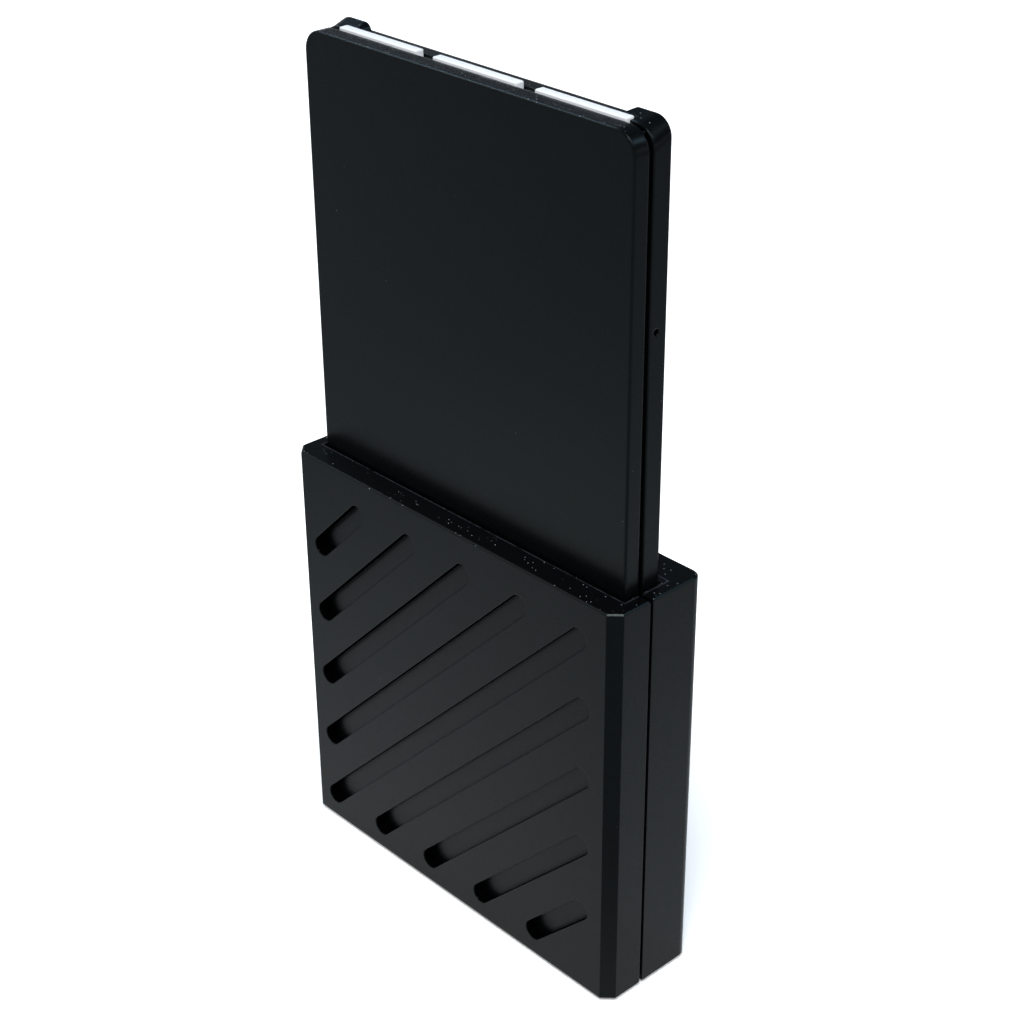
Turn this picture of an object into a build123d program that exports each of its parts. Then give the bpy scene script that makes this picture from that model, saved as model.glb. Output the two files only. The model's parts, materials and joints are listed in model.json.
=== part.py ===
"""Drive enclosure: a grooved upright sleeve, and a slim drive tray that slides down into it.

Millimetres. X is the width, Y runs from the grooved front to the rear, Z is up. The origin is
on the table, under the middle of the sleeve. The tray is drawn up, as far as its lugs let it.
"""
import os
from math import acos, atan2, cos, degrees, hypot, radians, sin

from build123d import *

os.makedirs("parts", exist_ok=True)

# Sleeve
sleeve_width = 86.0
sleeve_depth = 21.5
rim_height = 84.0
foot_height = 0.5
floor_thickness = 2.0
side_wall = 2.85
rear_wall = 1.85
top_wall = 2.0
front_corner_chamfer = 2.1
rear_corner_radius = 2.2
edge_bevel = 0.3
parting_setback = 8.4
reveal_width = 0.7

# Diagonal grooves of the front
groove_width = 4.0
groove_spacing = 14.8
groove_left_margin = 7.0
groove_right_margin = 7.6
groove_bottom_margin = 5.5
groove_top_margin = 7.7
groove_depth = 2.3
groove_bevel = 0.12

# Lips and catches that close the parting line from inside
lip_thickness = 1.4
lip_depth = 1.75
lip_top_drop = 0.8
lip_floor_drop = 1.2
catch_size = 0.35
catch_width = 0.6
catch_setback = 0.5
catch_height = 8.0
catch_drop = 10.0

# Feet under the sleeve
foot_length = 12.0
foot_width = 4.0
foot_recess = 0.3
foot_bevel = 0.15
foot_side_inset = 11.0
front_foot_inset = 4.2
rear_foot_inset = 3.75

# Screws of the sleeve
screw_radius = 1.0
screw_head_radius = 1.7
screw_head_height = 0.5
screw_slot_width = 0.35
screw_slot_depth = 0.25
boss_radius = 2.2
cover_block_width = 5.0
cover_block_height = 4.2
cover_screw_inset = 3.15
cover_screw_length = 7.0
cover_screw_tip_gap = 1.0
cover_head_depth = 1.2
guide_screw_inset = 12.65
guide_screw_drop = 6.0
guide_screw_spacing = 14.0
guide_head_depth = 0.6
guide_screw_grip = 3.5
board_screw_inset = 4.15
board_screw_margin = 4.25
board_screw_grip = 2.5

# Guide plate, and the board in the bay behind it
guide_thickness = 1.0
board_thickness = 0.8
board_drop = 26.0
board_rise = 5.5
board_tab_rise = 0.4
board_tab_gap = 0.8
board_corner = 1.0

# Parts on the board
bridge_chip_size = 7.0
bridge_chip_height = 0.9
bridge_chip_x = -12.0
flash_chip_length = 4.9
flash_chip_width = 3.9
flash_chip_height = 1.6
flash_chip_standoff = 0.15
flash_chip_x = 3.0
flash_pin_count = 4
flash_pin_spacing = 1.27
flash_pin_width = 0.4
flash_pin_span = 6.0
flash_pin_height = 0.2
chip_rise = 4.0
chip_bevel = 0.1
crystal_length = 3.2
crystal_width = 2.5
crystal_height = 0.7
crystal_round = 0.3
inductor_size = 4.0
inductor_height = 2.0
inductor_round = 0.5
inductor_x = -24.0
upper_parts_rise = 14.0
small_capacitor_length = 2.0
small_capacitor_width = 1.25
small_capacitor_columns = 5
small_capacitor_rows = 2
small_capacitor_inset = 26.15
small_capacitor_spacing = 3.4
small_capacitor_row_spacing = 3.0
large_capacitor_length = 3.5
large_capacitor_width = 2.8
large_capacitor_height = 1.9
large_capacitor_inset = 24.15
large_capacitor_spacing = 7.0

# USB socket in the left side
usb_height = 20.0
usb_width = 8.94
usb_thickness = 3.2
usb_length = 7.35
usb_wall = 0.3
usb_setback = 0.2
usb_opening_gap = 0.2
usb_tongue_width = 6.7
usb_tongue_thickness = 0.7
usb_tongue_length = 5.2
usb_tongue_setback = 0.5
usb_core_gap = 0.4
usb_leg_spacing = 4.0
usb_leg_width = 1.0
usb_leg_height = 0.2

# Socket for the drive, and spring contacts for the light bars
socket_thickness = 2.8
socket_foot_height = 4.3
socket_gap = 0.3
socket_wall = 0.9
socket_bevel = 0.2
tongue_gap = 0.15
contact_inset = 9.925
contact_block_width = 9.0
contact_block_thickness = 2.2
contact_pin_radius = 0.5
contact_pin_count = 4
contact_pin_spacing = 2.0
contact_pin_bevel = 0.2
contact_window_gap = 0.4
contact_pad_thickness = 0.5
contact_pad_side = 2.0
contact_pad_edge = 0.8

# Glide strips and detent spring in the side walls
strip_width = 2.3
strip_length = 22.0
strip_recess = 0.5
strip_bevel = 0.15
spring_width = 2.1
spring_thickness = 0.25
spring_pocket_depth = 1.45
spring_low = 8.5
spring_high = 3.0
spring_foot = 2.0
spring_crest_length = 1.0
spring_tip_gap = 0.2
spring_tip_drop = 0.4

# Tray
tray_thickness = 8.2
tray_setback = 5.45
tray_rise = 81.2
tray_plate = 1.1
tray_rim = 1.2
tray_corner_radius = 4.0
tray_foot_radius = 1.0
tray_edge_round = 0.35
front_shell_depth = 3.25
shell_groove = 1.0
ear_rise = 0.9
ear_setback = 0.6
ear_corner_radius = 3.2
ear_width = 6.4
ear_round = 0.65
crown_drop = 0.5
crown_setback = 5.6
crown_overlap = 0.4
bar_rib_drop = 0.5
lug_width = 4.0
lug_height = 4.0
lug_inset = 5.85
lug_above_foot = 4.0
lug_tip_gap = 0.2
pin_hole_radius = 0.6
pin_hole_setback = 1.55
detent_drop = 4.8

# Lip and webs that close the tray's groove from inside, and screws that join its shells
shell_lip_thickness = 0.9
shell_lip_depth = 1.8
shell_lip_rise = 1.0
shell_lip_window = 3.0
web_depth = 1.3
web_gap = 0.1
shell_screw_radius = 0.7
shell_head_radius = 1.2
shell_head_depth = 0.6
shell_screw_grip = 3.5
shell_screw_rise = 7.0
shell_screw_drop = 10.0
shell_boss_height = 4.0

# Light bars in the top of the tray, the board with their lamps, and its ribbon
bar_end_margin = 5.35
bar_gap = 4.2
bar_thickness = 1.9
bar_height = 2.7
bar_proud = 0.4
bar_leg = 1.4
bar_round = 0.5
bar_edge_round = 0.25
bar_back_gap = 0.2
light_board_thickness = 0.6
light_gap = 0.4
lamp_length = 1.6
lamp_width = 0.8
lamp_height = 0.5
ribbon_width = 6.0
ribbon_thickness = 0.15
ribbon_gap = 0.1

# Drive of the 2.5-inch size, 5 mm thick, held by rubber rails between two sheets
drive_side_room = 4.925
drive_length = 100.2
drive_thickness = 5.0
drive_gap = 0.8
drive_cover_thickness = 0.4
drive_cover_inset = 0.3
drive_floor = 0.8
drive_corner_radius = 2.0
drive_screw_radius = 0.6
drive_screw_head = 1.0
drive_screw_head_height = 0.3
drive_screw_inset = 1.9
drive_screw_rise = 3.5
drive_screw_drop = 2.9
drive_screw_depth = 2.0
drive_screw_tip_gap = 0.2
rail_end_gap = 2.0
pad_thickness = 0.45
pad_side_inset = 8.0
pad_foot_inset = 14.0
pad_top_inset = 10.0
sheet_thickness = 0.2
sheet_side_inset = 1.0
sheet_end_inset = 1.5

# Circuit board and plug of the drive
drive_board_thickness = 0.8
drive_board_side = 3.0
drive_board_rise = 0.8
drive_board_hole_inset = 3.0
plug_width = 36.0
plug_inset = 4.925
plug_depth = 4.5
plug_body_depth = 3.5
plug_tongue = 1.0
plug_tongue_setback = 0.4
plug_key_offset = 4.0
plug_key_width = 2.0
plug_side_gap = 0.2
pocket_foot_gap = 1.0

# Disc, hub and clamp
disc_inset = 2.425
disc_thickness = 0.8
pocket_gap = 0.9
pocket_side_step = 0.4
hub_radius = 12.5
hub_step = 2.5
clamp_height = 0.3
disc_running_gap = 0.15
spindle_bore = 2.0
spindle_end_gap = 0.4

# Head arm, its coil and magnets, and the ramp
arm_length = 38.0
arm_root_radius = 4.5
arm_blade = 0.3
arm_blade_gap = 0.2
arm_tip_width = 2.4
arm_tip_extra = 1.0
arm_taper_length = 5.0
arm_side_gap = 0.15
pivot_radius = 1.5
pivot_end_gap = 0.1
pivot_inset = 16.925
pivot_rise = 23.5
park_gap = 3.1
swing_angle = 32.0
coil_angle = 32.0
coil_outer_radius = 13.0
magnet_inner_radius = 6.0
magnet_gap = 0.25
magnet_end_angle = 6.0
ramp_low_angle = -4.0
ramp_high_angle = 8.0
ramp_inner_gap = 1.0
ramp_width = 4.5
ramp_wall = 1.9
ramp_thickness = 0.6

# Clearances
slide_clearance = 0.3
running_clearance = 0.05
fit_clearance = 0.1
glide_clearance = 0.1

# Planes of the sleeve, from front to rear and from the floor up
front = -sleeve_depth / 2
back = sleeve_depth / 2
half_width = sleeve_width / 2
front_cover_back = front + parting_setback
rear_cover_front = front_cover_back + reveal_width
rear_inside = back - rear_wall
floor_top = foot_height + floor_thickness
lid_bottom = rim_height - top_wall

# Channel of the sleeve, the tray that fills it, and the plate and board behind it
channel_half = half_width - side_wall
tray_half = channel_half - slide_clearance
tray_inner_half = tray_half - tray_rim
tray_front = front + tray_setback
tray_back = tray_front + tray_thickness
tray_inner_front = tray_front + tray_plate
tray_inner_back = tray_back - tray_plate
shell_split = tray_front + front_shell_depth
rear_shell_front = shell_split + shell_groove
channel_front = tray_front - slide_clearance
channel_back = tray_back + slide_clearance
guide_back = channel_back + guide_thickness
board_front = guide_back + screw_head_height
board_back = board_front + board_thickness

# Levels of the tray from the top down, and the travel that leaves room for the drive's socket
tray_top = rim_height + tray_rise
bar_bottom = tray_top + bar_proud - bar_height
light_board_top = bar_bottom - bar_leg / 2
light_board_bottom = light_board_top - light_board_thickness
drive_top = light_board_bottom - light_gap
drive_bottom = drive_top - drive_length
tray_inner_bottom = drive_bottom - drive_gap
tray_bottom = tray_inner_bottom - tray_plate
socket_foot_top = floor_top + socket_foot_height
tray_travel = tray_bottom - socket_foot_top - socket_gap
closed_pin_z = rim_height - detent_drop
pin_hole_z = closed_pin_z + tray_travel

# Planes of the drive, from front to rear
drive_half = tray_half - drive_side_room
drive_front = tray_inner_front + pad_thickness
drive_back = drive_front + drive_thickness
drive_middle = (drive_front + drive_back) / 2
casting_front = drive_front + drive_cover_thickness
board_pocket = drive_back - drive_board_thickness
pocket_back = board_pocket - drive_floor
pocket_middle = (casting_front + pocket_back) / 2
disc_radius = drive_half - disc_inset
pocket_radius = disc_radius + pocket_gap
spindle_z = drive_top - drive_half
pivot_x = drive_half - pivot_inset
pivot_z = drive_bottom + pivot_rise
plug_x = plug_inset - drive_half + plug_width / 2
contact_x = drive_half - contact_inset


def block(x, y, z, mode=Mode.ADD):
    """Add or cut a block that spans the given low and high limits."""
    with Locations(((x[0] + x[1]) / 2, (y[0] + y[1]) / 2, (z[0] + z[1]) / 2)):
        Box(x[1] - x[0], y[1] - y[0], z[1] - z[0], mode=mode)


def rod(radius, x, z, y, mode=Mode.ADD):
    """Add or cut a round rod along Y."""
    with Locations((x, (y[0] + y[1]) / 2, z)):
        Cylinder(radius, y[1] - y[0], rotation=(90, 0, 0), mode=mode)


def about(centre, size):
    """Limits of a span of this size about its centre."""
    return centre - size / 2, centre + size / 2


def finish(builder, name):
    """Label the piece and write it out."""
    builder.part.label = name
    export_step(builder.part, f"parts/{name}.step")


def facing_front(y):
    """A sketch plane at this depth that looks to the front, with X to the right and Z up."""
    return Plane.XZ.offset(-y)


# Places of the feet and of the sleeve's screws
foot_x = half_width - foot_side_inset
foot_places = [
    (side * foot_x, y) for side in (-1, 1) for y in (front + front_foot_inset, back - rear_foot_inset)
]
cover_screw_x = channel_half - cover_screw_inset
cover_screw_z = floor_top + cover_block_height / 2
cover_screw_places = [(side * cover_screw_x, cover_screw_z) for side in (-1, 1)]
guide_screw_x = channel_half - guide_screw_inset
guide_screw_high = lid_bottom - guide_screw_drop
guide_screw_places = [
    (side * guide_screw_x, z) for side in (-1, 1)
    for z in (guide_screw_high - guide_screw_spacing, guide_screw_high)
]
board_top = lid_bottom - board_drop
board_bottom = floor_top + board_rise
board_screw_x = channel_half - board_screw_inset
board_screw_places = [
    (side * board_screw_x, z) for side in (-1, 1)
    for z in (board_bottom + board_screw_margin, board_top - board_screw_margin)
]


def feet_recesses(places):
    """Cut the shallow seats of the feet into the underside."""
    for x, y in places:
        block(about(x, foot_length), about(y, foot_width), (foot_height, foot_height + foot_recess),
              Mode.SUBTRACT)


def mouth_edges(cover, y):
    """The long edge of the channel's mouth at this depth."""
    level = cover.edges().filter_by(Axis.X).group_by(Axis.Z)[-1]
    return level.filter_by_position(Axis.Y, y - fit_clearance, y + fit_clearance)


def parting_lip(growth):
    """The lip that runs down both sides and under the floor, as a sketch facing the front."""
    outer = channel_half + lip_thickness + growth
    low = floor_top - lip_floor_drop - growth
    high = rim_height - lip_top_drop + growth
    with BuildSketch(facing_front(front_cover_back)) as profile:
        with Locations((0, (low + high) / 2)):
            Rectangle(2 * outer, high - low)
        with Locations((0, (floor_top + high) / 2)):
            Rectangle(2 * channel_half, high - floor_top, mode=Mode.SUBTRACT)
    return profile.sketch


def catches(growth, mode):
    """Small ridges outside the lip that snap the covers together near the rim."""
    y = about(front_cover_back + lip_depth - catch_setback, catch_width + 2 * growth)
    z = about(rim_height - catch_drop - catch_height / 2, catch_height + 2 * growth)
    root = channel_half + lip_thickness
    for side in (-1, 1):
        x = sorted((side * (root - fit_clearance), side * (root + catch_size + growth)))
        block(x, y, z, mode)


# Grooves of the front: each runs up to the right at 45 degrees
groove_low_x = -half_width + groove_left_margin
groove_low_z = foot_height + groove_bottom_margin
groove_high_x = half_width - groove_right_margin
groove_high_z = rim_height - groove_top_margin
middle_line = groove_low_x - groove_low_z


def groove_ends(step):
    """Centres of the two round ends of a groove, counted from the middle one."""
    line = middle_line + step * groove_spacing
    low_x = max(groove_low_x, groove_low_z + line)
    high_x = min(groove_high_x, groove_high_z + line)
    return (low_x, low_x - line), (high_x, high_x - line)


groove_count_side = int((groove_high_z - groove_low_z) / groove_spacing)
groove_cutters = []
for step in range(-groove_count_side, groove_count_side + 1):
    (low_x, low_z), (high_x, high_z) = groove_ends(step)
    run = hypot(high_x - low_x, high_z - low_z)
    with BuildPart() as cutter:
        with BuildSketch(facing_front(front)):
            with Locations(((low_x + high_x) / 2, (low_z + high_z) / 2)):
                SlotCenterToCenter(run, groove_width, rotation=45)
        extrude(amount=-groove_depth)
    groove_cutters.append(cutter.part)

with BuildPart() as front_cover:
    with BuildSketch(Plane.XY.offset(foot_height)) as plan:
        with Locations((0, (front + front_cover_back) / 2)):
            Rectangle(sleeve_width, parting_setback)
        chamfer(plan.vertices().group_by(Axis.Y)[0], front_corner_chamfer)
    extrude(amount=rim_height - foot_height)
    chamfer(front_cover.edges().filter_by(Axis.Z, reverse=True), edge_bevel)
    block((-channel_half, channel_half), (channel_front, front_cover_back), (floor_top, rim_height),
          Mode.SUBTRACT)
    chamfer(mouth_edges(front_cover, channel_front), edge_bevel)
    for cutter_part in groove_cutters:
        add(cutter_part, mode=Mode.SUBTRACT)
    groove_rims = front_cover.faces().sort_by(Axis.Y)[0].inner_wires()
    chamfer([edge for rim in groove_rims for edge in rim.edges()], groove_bevel)
    extrude(parting_lip(0), amount=-lip_depth)
    catches(0, Mode.ADD)
    for x, z in cover_screw_places:
        block(about(x, cover_block_width), (channel_front, rear_inside - fit_clearance),
              (floor_top, floor_top + cover_block_height))
        rod(screw_radius + running_clearance, x, z, (rear_inside - cover_screw_length, rear_inside),
            Mode.SUBTRACT)
    feet_recesses([place for place in foot_places if place[1] < front_cover_back])
finish(front_cover, "front_cover")

# USB socket in the left side, low down
usb_mouth = -half_width + usb_setback
usb_y = board_back + usb_thickness / 2


def usb_outline(growth):
    """Rounded outline of the USB socket, seen from the left side."""
    with BuildSketch(Plane.YZ.offset(usb_mouth)) as profile:
        with Locations((usb_y, usb_height)):
            SlotOverall(usb_width + 2 * growth, usb_thickness + 2 * growth, rotation=90)
    return profile.sketch


# Places of the glide strips and of the spring in the side walls
strip_y = about(tray_inner_back - strip_width / 2, strip_width)
strip_top = rim_height - catch_drop - catch_height
strip_z = (strip_top - strip_length, strip_top)
pin_hole_y = rear_shell_front + pin_hole_setback

with BuildPart() as rear_cover:
    with BuildSketch(Plane.XY.offset(foot_height)) as plan:
        with Locations((0, (rear_cover_front + back) / 2)):
            Rectangle(sleeve_width, back - rear_cover_front)
        fillet(plan.vertices().group_by(Axis.Y)[-1], rear_corner_radius)
    extrude(amount=rim_height - foot_height)
    ends = rear_cover.faces().sort_by(Axis.Z)
    chamfer(ends[-1].edges() + ends[0].edges(), edge_bevel)
    block((-channel_half, channel_half), (rear_cover_front, rear_inside), (floor_top, lid_bottom),
          Mode.SUBTRACT)
    block((-channel_half, channel_half), (rear_cover_front, channel_back), (floor_top, rim_height),
          Mode.SUBTRACT)
    chamfer(mouth_edges(rear_cover, channel_back), edge_bevel)
    extrude(parting_lip(fit_clearance), amount=-(lip_depth + fit_clearance), mode=Mode.SUBTRACT)
    catches(fit_clearance, Mode.SUBTRACT)
    for x, z in guide_screw_places:
        rod(boss_radius, x, z, (guide_back, rear_inside))
        rod(screw_radius + running_clearance, x, z, (guide_back, rear_inside), Mode.SUBTRACT)
    for x, z in board_screw_places:
        rod(boss_radius, x, z, (board_back, rear_inside))
        rod(screw_radius + running_clearance, x, z, (board_back, rear_inside), Mode.SUBTRACT)
    for x, z in cover_screw_places:
        rod(screw_radius + fit_clearance, x, z, (rear_inside, back), Mode.SUBTRACT)
        rod(screw_head_radius + fit_clearance, x, z, (back - cover_head_depth, back), Mode.SUBTRACT)
    extrude(usb_outline(usb_opening_gap), amount=side_wall, both=True, mode=Mode.SUBTRACT)
    for side in (-1, 1):
        recess = sorted((side * channel_half, side * (channel_half + strip_recess)))
        block(recess, strip_y, strip_z, Mode.SUBTRACT)
    block((channel_half, channel_half + spring_pocket_depth),
          about(pin_hole_y, spring_width + 2 * fit_clearance),
          (closed_pin_z - spring_low, closed_pin_z + spring_high), Mode.SUBTRACT)
    feet_recesses([place for place in foot_places if place[1] > rear_cover_front])
finish(rear_cover, "rear_cover")

# Socket for the drive: a foot on the sleeve's floor, and a tower that enters the closed drive
socket_x = about(plug_x, plug_width)
socket_y = about(drive_middle, socket_thickness)
socket_top = drive_bottom - tray_travel + plug_depth - socket_gap
recess_x = about(plug_x, plug_width + 2 * socket_gap)
recess_y = about(drive_middle, socket_thickness + 2 * socket_gap)


def tongue_spans(gap):
    """Spans of the plug's two tongues, or with no gap those of the slots that take them."""
    key_x = plug_x + plug_key_offset
    return ((socket_x[0] + socket_wall + gap, key_x - plug_key_width / 2 - gap),
            (key_x + plug_key_width / 2 + gap, socket_x[1] - socket_wall - gap))


# Slots of the guide plate for the tray's lugs, which set both ends of the travel
lug_x = tray_half - lug_inset
lug_low = tray_bottom + lug_above_foot
slot_z = (lug_low - tray_travel - fit_clearance, lug_low + lug_height + fit_clearance)

with BuildPart() as guide_plate:
    block((-channel_half, channel_half), (channel_back, guide_back), (floor_top, lid_bottom))
    for side in (-1, 1):
        block(about(side * lug_x, lug_width + 2 * slide_clearance), (channel_back, guide_back), slot_z,
              Mode.SUBTRACT)
        block(about(side * cover_screw_x, cover_block_width + 2 * slide_clearance),
              (channel_back, guide_back), (floor_top, floor_top + cover_block_height + slide_clearance),
              Mode.SUBTRACT)
    block(recess_x, (channel_back, guide_back), (floor_top, socket_foot_top + slide_clearance),
          Mode.SUBTRACT)
    for x, z in guide_screw_places:
        rod(screw_radius + fit_clearance, x, z, (channel_back, guide_back), Mode.SUBTRACT)
        rod(screw_head_radius + fit_clearance, x, z, (channel_back, channel_back + guide_head_depth),
            Mode.SUBTRACT)
finish(guide_plate, "guide_plate")


def screws(places, head, shank, seat, tip, head_outer):
    """Cap screws along Y, each with a cross slot in its head."""
    inward = 1 if head_outer < seat else -1
    slot_span = sorted((head_outer, head_outer + inward * screw_slot_depth))
    for x, z in places:
        rod(head, x, z, sorted((seat, head_outer)))
        rod(shank, x, z, sorted((seat, tip)))
        block(about(x, 1.2 * head), slot_span, about(z, screw_slot_width), Mode.SUBTRACT)
        block(about(x, screw_slot_width), slot_span, about(z, 1.2 * head), Mode.SUBTRACT)


with BuildPart() as guide_screws:
    screws(guide_screw_places, screw_head_radius, screw_radius, channel_back + guide_head_depth,
           guide_back + guide_screw_grip, channel_back + fit_clearance)
finish(guide_screws, "guide_screws")

with BuildPart() as board_screws:
    screws(board_screw_places, screw_head_radius, screw_radius, board_front, board_back + board_screw_grip,
           board_front - screw_head_height + fit_clearance)
finish(board_screws, "board_screws")

with BuildPart() as cover_screws:
    screws(cover_screw_places, screw_head_radius, screw_radius, back - cover_head_depth,
           rear_inside - cover_screw_length + cover_screw_tip_gap, back - fit_clearance)
finish(cover_screws, "cover_screws")

for name, side in {"glide_strip_left": -1, "glide_strip_right": 1}.items():
    with BuildPart() as glide_strip:
        strip_x = sorted((side * (tray_half + glide_clearance), side * (channel_half + strip_recess)))
        block(strip_x, strip_y, strip_z)
        chamfer(glide_strip.edges().filter_by(Axis.Y).sort_by(Axis.X, reverse=side < 0)[:2], strip_bevel)
    finish(glide_strip, name)

# Leaf spring: it stands at both ends in its pocket, and is bowed towards the tray's pin hole
spring_seat = channel_half + spring_pocket_depth - spring_thickness / 2
spring_crest = tray_half + glide_clearance + spring_thickness / 2
crest_z = about(closed_pin_z, spring_crest_length)
with BuildPart() as detent_spring:
    with BuildSketch(facing_front(pin_hole_y + spring_width / 2)):
        with BuildLine():
            Polyline((spring_seat, closed_pin_z - spring_low + fit_clearance),
                     (spring_seat, closed_pin_z - spring_low + spring_foot),
                     (spring_crest, crest_z[0]), (spring_crest, crest_z[1]),
                     (spring_seat - spring_tip_gap, closed_pin_z + spring_high - spring_tip_drop))
        trace(line_width=spring_thickness)
    extrude(amount=spring_width)
finish(detent_spring, "detent_spring")

with BuildPart() as bridge_board:
    block((-channel_half + fit_clearance, channel_half - fit_clearance), (board_front, board_back),
          (board_bottom, board_top))
    tab_half = cover_screw_x - cover_block_width / 2 - board_tab_gap
    block((-tab_half, tab_half), (board_front, board_back), (floor_top + board_tab_rise, board_bottom))
    for x, z in board_screw_places:
        rod(screw_radius + fit_clearance, x, z, (board_front, board_back), Mode.SUBTRACT)
    chamfer(bridge_board.edges().filter_by(Axis.Y).filter_by(GeomType.LINE).group_by(Axis.Z)[-1],
            board_corner)
finish(bridge_board, "bridge_board")

chip_z = usb_height + chip_rise
upper_parts_z = usb_height + upper_parts_rise
with BuildPart() as bridge_chip:
    block(about(bridge_chip_x, bridge_chip_size), (board_back, board_back + bridge_chip_height),
          about(chip_z, bridge_chip_size))
    chamfer(bridge_chip.edges().group_by(Axis.Y)[-1], chip_bevel)
finish(bridge_chip, "bridge_chip")

with BuildPart() as flash_chip:
    block(about(flash_chip_x, flash_chip_length),
          (board_back + flash_chip_standoff, board_back + flash_chip_height), about(chip_z, flash_chip_width))
    chamfer(flash_chip.edges().group_by(Axis.Y)[-1], 2 * chip_bevel)
    for pin in range(flash_pin_count):
        pin_x = flash_chip_x + flash_pin_spacing * (pin - (flash_pin_count - 1) / 2)
        block(about(pin_x, flash_pin_width), (board_back, board_back + flash_pin_height),
              about(chip_z, flash_pin_span))
finish(flash_chip, "flash_chip")

with BuildPart() as crystal:
    block(about(bridge_chip_x, crystal_length), (board_back, board_back + crystal_height),
          about(upper_parts_z, crystal_width))
    fillet(crystal.edges().filter_by(Axis.Y), crystal_round)
finish(crystal, "crystal")

with BuildPart() as inductor:
    block(about(inductor_x, inductor_size), (board_back, board_back + inductor_height),
          about(upper_parts_z, inductor_size))
    fillet(inductor.edges().filter_by(Axis.Y), inductor_round)
finish(inductor, "inductor")

small_capacitor_x = channel_half - small_capacitor_inset
large_capacitor_x = channel_half - large_capacitor_inset
with BuildPart() as capacitors:
    for column in range(small_capacitor_columns):
        for row in range(small_capacitor_rows):
            block(about(small_capacitor_x + small_capacitor_spacing * column, small_capacitor_width),
                  (board_back, board_back + small_capacitor_width),
                  about(usb_height + small_capacitor_row_spacing * row, small_capacitor_length))
    for x in (large_capacitor_x, large_capacitor_x + large_capacitor_spacing):
        block(about(x, large_capacitor_length), (board_back, board_back + large_capacitor_height),
              about(upper_parts_z, large_capacitor_width))
finish(capacitors, "capacitors")

with BuildPart() as usb_shell:
    extrude(usb_outline(0), amount=usb_length)
    extrude(usb_outline(-usb_wall), amount=usb_length, mode=Mode.SUBTRACT)
    for leg_x in about(usb_mouth + usb_length / 2, usb_leg_spacing):
        block(about(leg_x, usb_leg_width), (board_back, board_back + usb_leg_height),
              about(usb_height, usb_width - usb_thickness))
finish(usb_shell, "usb_shell")

with BuildPart() as usb_tongue:
    extrude(usb_outline(-usb_wall), amount=usb_length)
    extrude(usb_outline(-usb_wall), amount=usb_tongue_length + usb_core_gap, mode=Mode.SUBTRACT)
    block((usb_mouth + usb_tongue_setback, usb_mouth + usb_length), about(usb_y, usb_tongue_thickness),
          about(usb_height, usb_tongue_width))
finish(usb_tongue, "usb_tongue")

with BuildPart() as drive_socket:
    block(socket_x, (socket_y[0], board_front), (floor_top, socket_foot_top))
    block(socket_x, socket_y, (socket_foot_top, socket_top))
    for slot_x in tongue_spans(0):
        block(slot_x, about(drive_middle, plug_tongue + 2 * tongue_gap), (socket_foot_top, socket_top),
              Mode.SUBTRACT)
    chamfer(drive_socket.faces().sort_by(Axis.Z)[-1].outer_wire().edges(), socket_bevel)
finish(drive_socket, "drive_socket")

with BuildPart() as contact_block:
    block(about(contact_x, contact_block_width), about(drive_middle, contact_block_thickness),
          (floor_top, socket_foot_top))
    chamfer(contact_block.edges().group_by(Axis.Z)[-1], socket_bevel)
finish(contact_block, "contact_block")

with BuildPart() as contact_pins:
    for pin in range(contact_pin_count):
        pin_x = contact_x + contact_pin_spacing * (pin - (contact_pin_count - 1) / 2)
        with BuildSketch(Plane.XY.offset(socket_foot_top)):
            with Locations((pin_x, drive_middle)):
                Circle(contact_pin_radius)
        extrude(amount=tray_inner_bottom - tray_travel - fit_clearance - socket_foot_top)
    chamfer(contact_pins.faces().filter_by(Axis.Z).group_by(Axis.Z)[-1].edges(), contact_pin_bevel)
finish(contact_pins, "contact_pins")

with BuildPart() as feet:
    for x, y in foot_places:
        block(about(x, foot_length), about(y, foot_width), (0, foot_height + foot_recess))
    chamfer(feet.edges().group_by(Axis.Z)[0], foot_bevel)
finish(feet, "feet")

# Lip, bosses and screws that join the tray's shells
shell_lip_half = tray_inner_half - fit_clearance
shell_boss_inner = drive_half + fit_clearance
shell_screw_x = (shell_boss_inner + shell_lip_half) / 2
shell_screw_heights = (tray_bottom + shell_screw_rise, tray_top - shell_screw_drop)
shell_screw_places = [(side * shell_screw_x, z) for side in (-1, 1) for z in shell_screw_heights]

# Top of the tray: the crown between the ears, and the room for the light bars
ear_top = tray_top + ear_rise
ear_inner = tray_half - ear_width
crown_top = tray_top - crown_drop
ear_drop = ear_top - crown_top
crown_half = ear_inner - ear_drop - ear_round
crown_front = tray_front + crown_setback
crown_bottom = bar_bottom + crown_overlap
bars_half = tray_half - bar_end_margin
bar_length = (2 * bars_half - 2 * bar_gap) / 3
bars_room_half = bars_half + fit_clearance
bar_y = (crown_front - bar_back_gap - bar_thickness, crown_front - bar_back_gap)
bar_rib_x = (bar_length + bar_gap) / 2
bar_rib_width = bar_gap - 2 * fit_clearance


def shell_lip():
    """The lip that stands on the front shell's plate and closes the groove from inside."""
    low = tray_inner_bottom + shell_lip_rise
    high = crown_bottom - fit_clearance
    with BuildSketch(facing_front(tray_inner_front)) as profile:
        with Locations((0, (low + high) / 2)):
            Rectangle(2 * shell_lip_half, high - low)
        fillet(profile.vertices().group_by(Axis.Y)[-1], tray_corner_radius - tray_rim)
        with Locations((0, (low + high - shell_lip_thickness) / 2)):
            Rectangle(2 * (shell_lip_half - shell_lip_thickness), high - low - shell_lip_thickness,
                      mode=Mode.SUBTRACT)
    return profile.sketch


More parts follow.
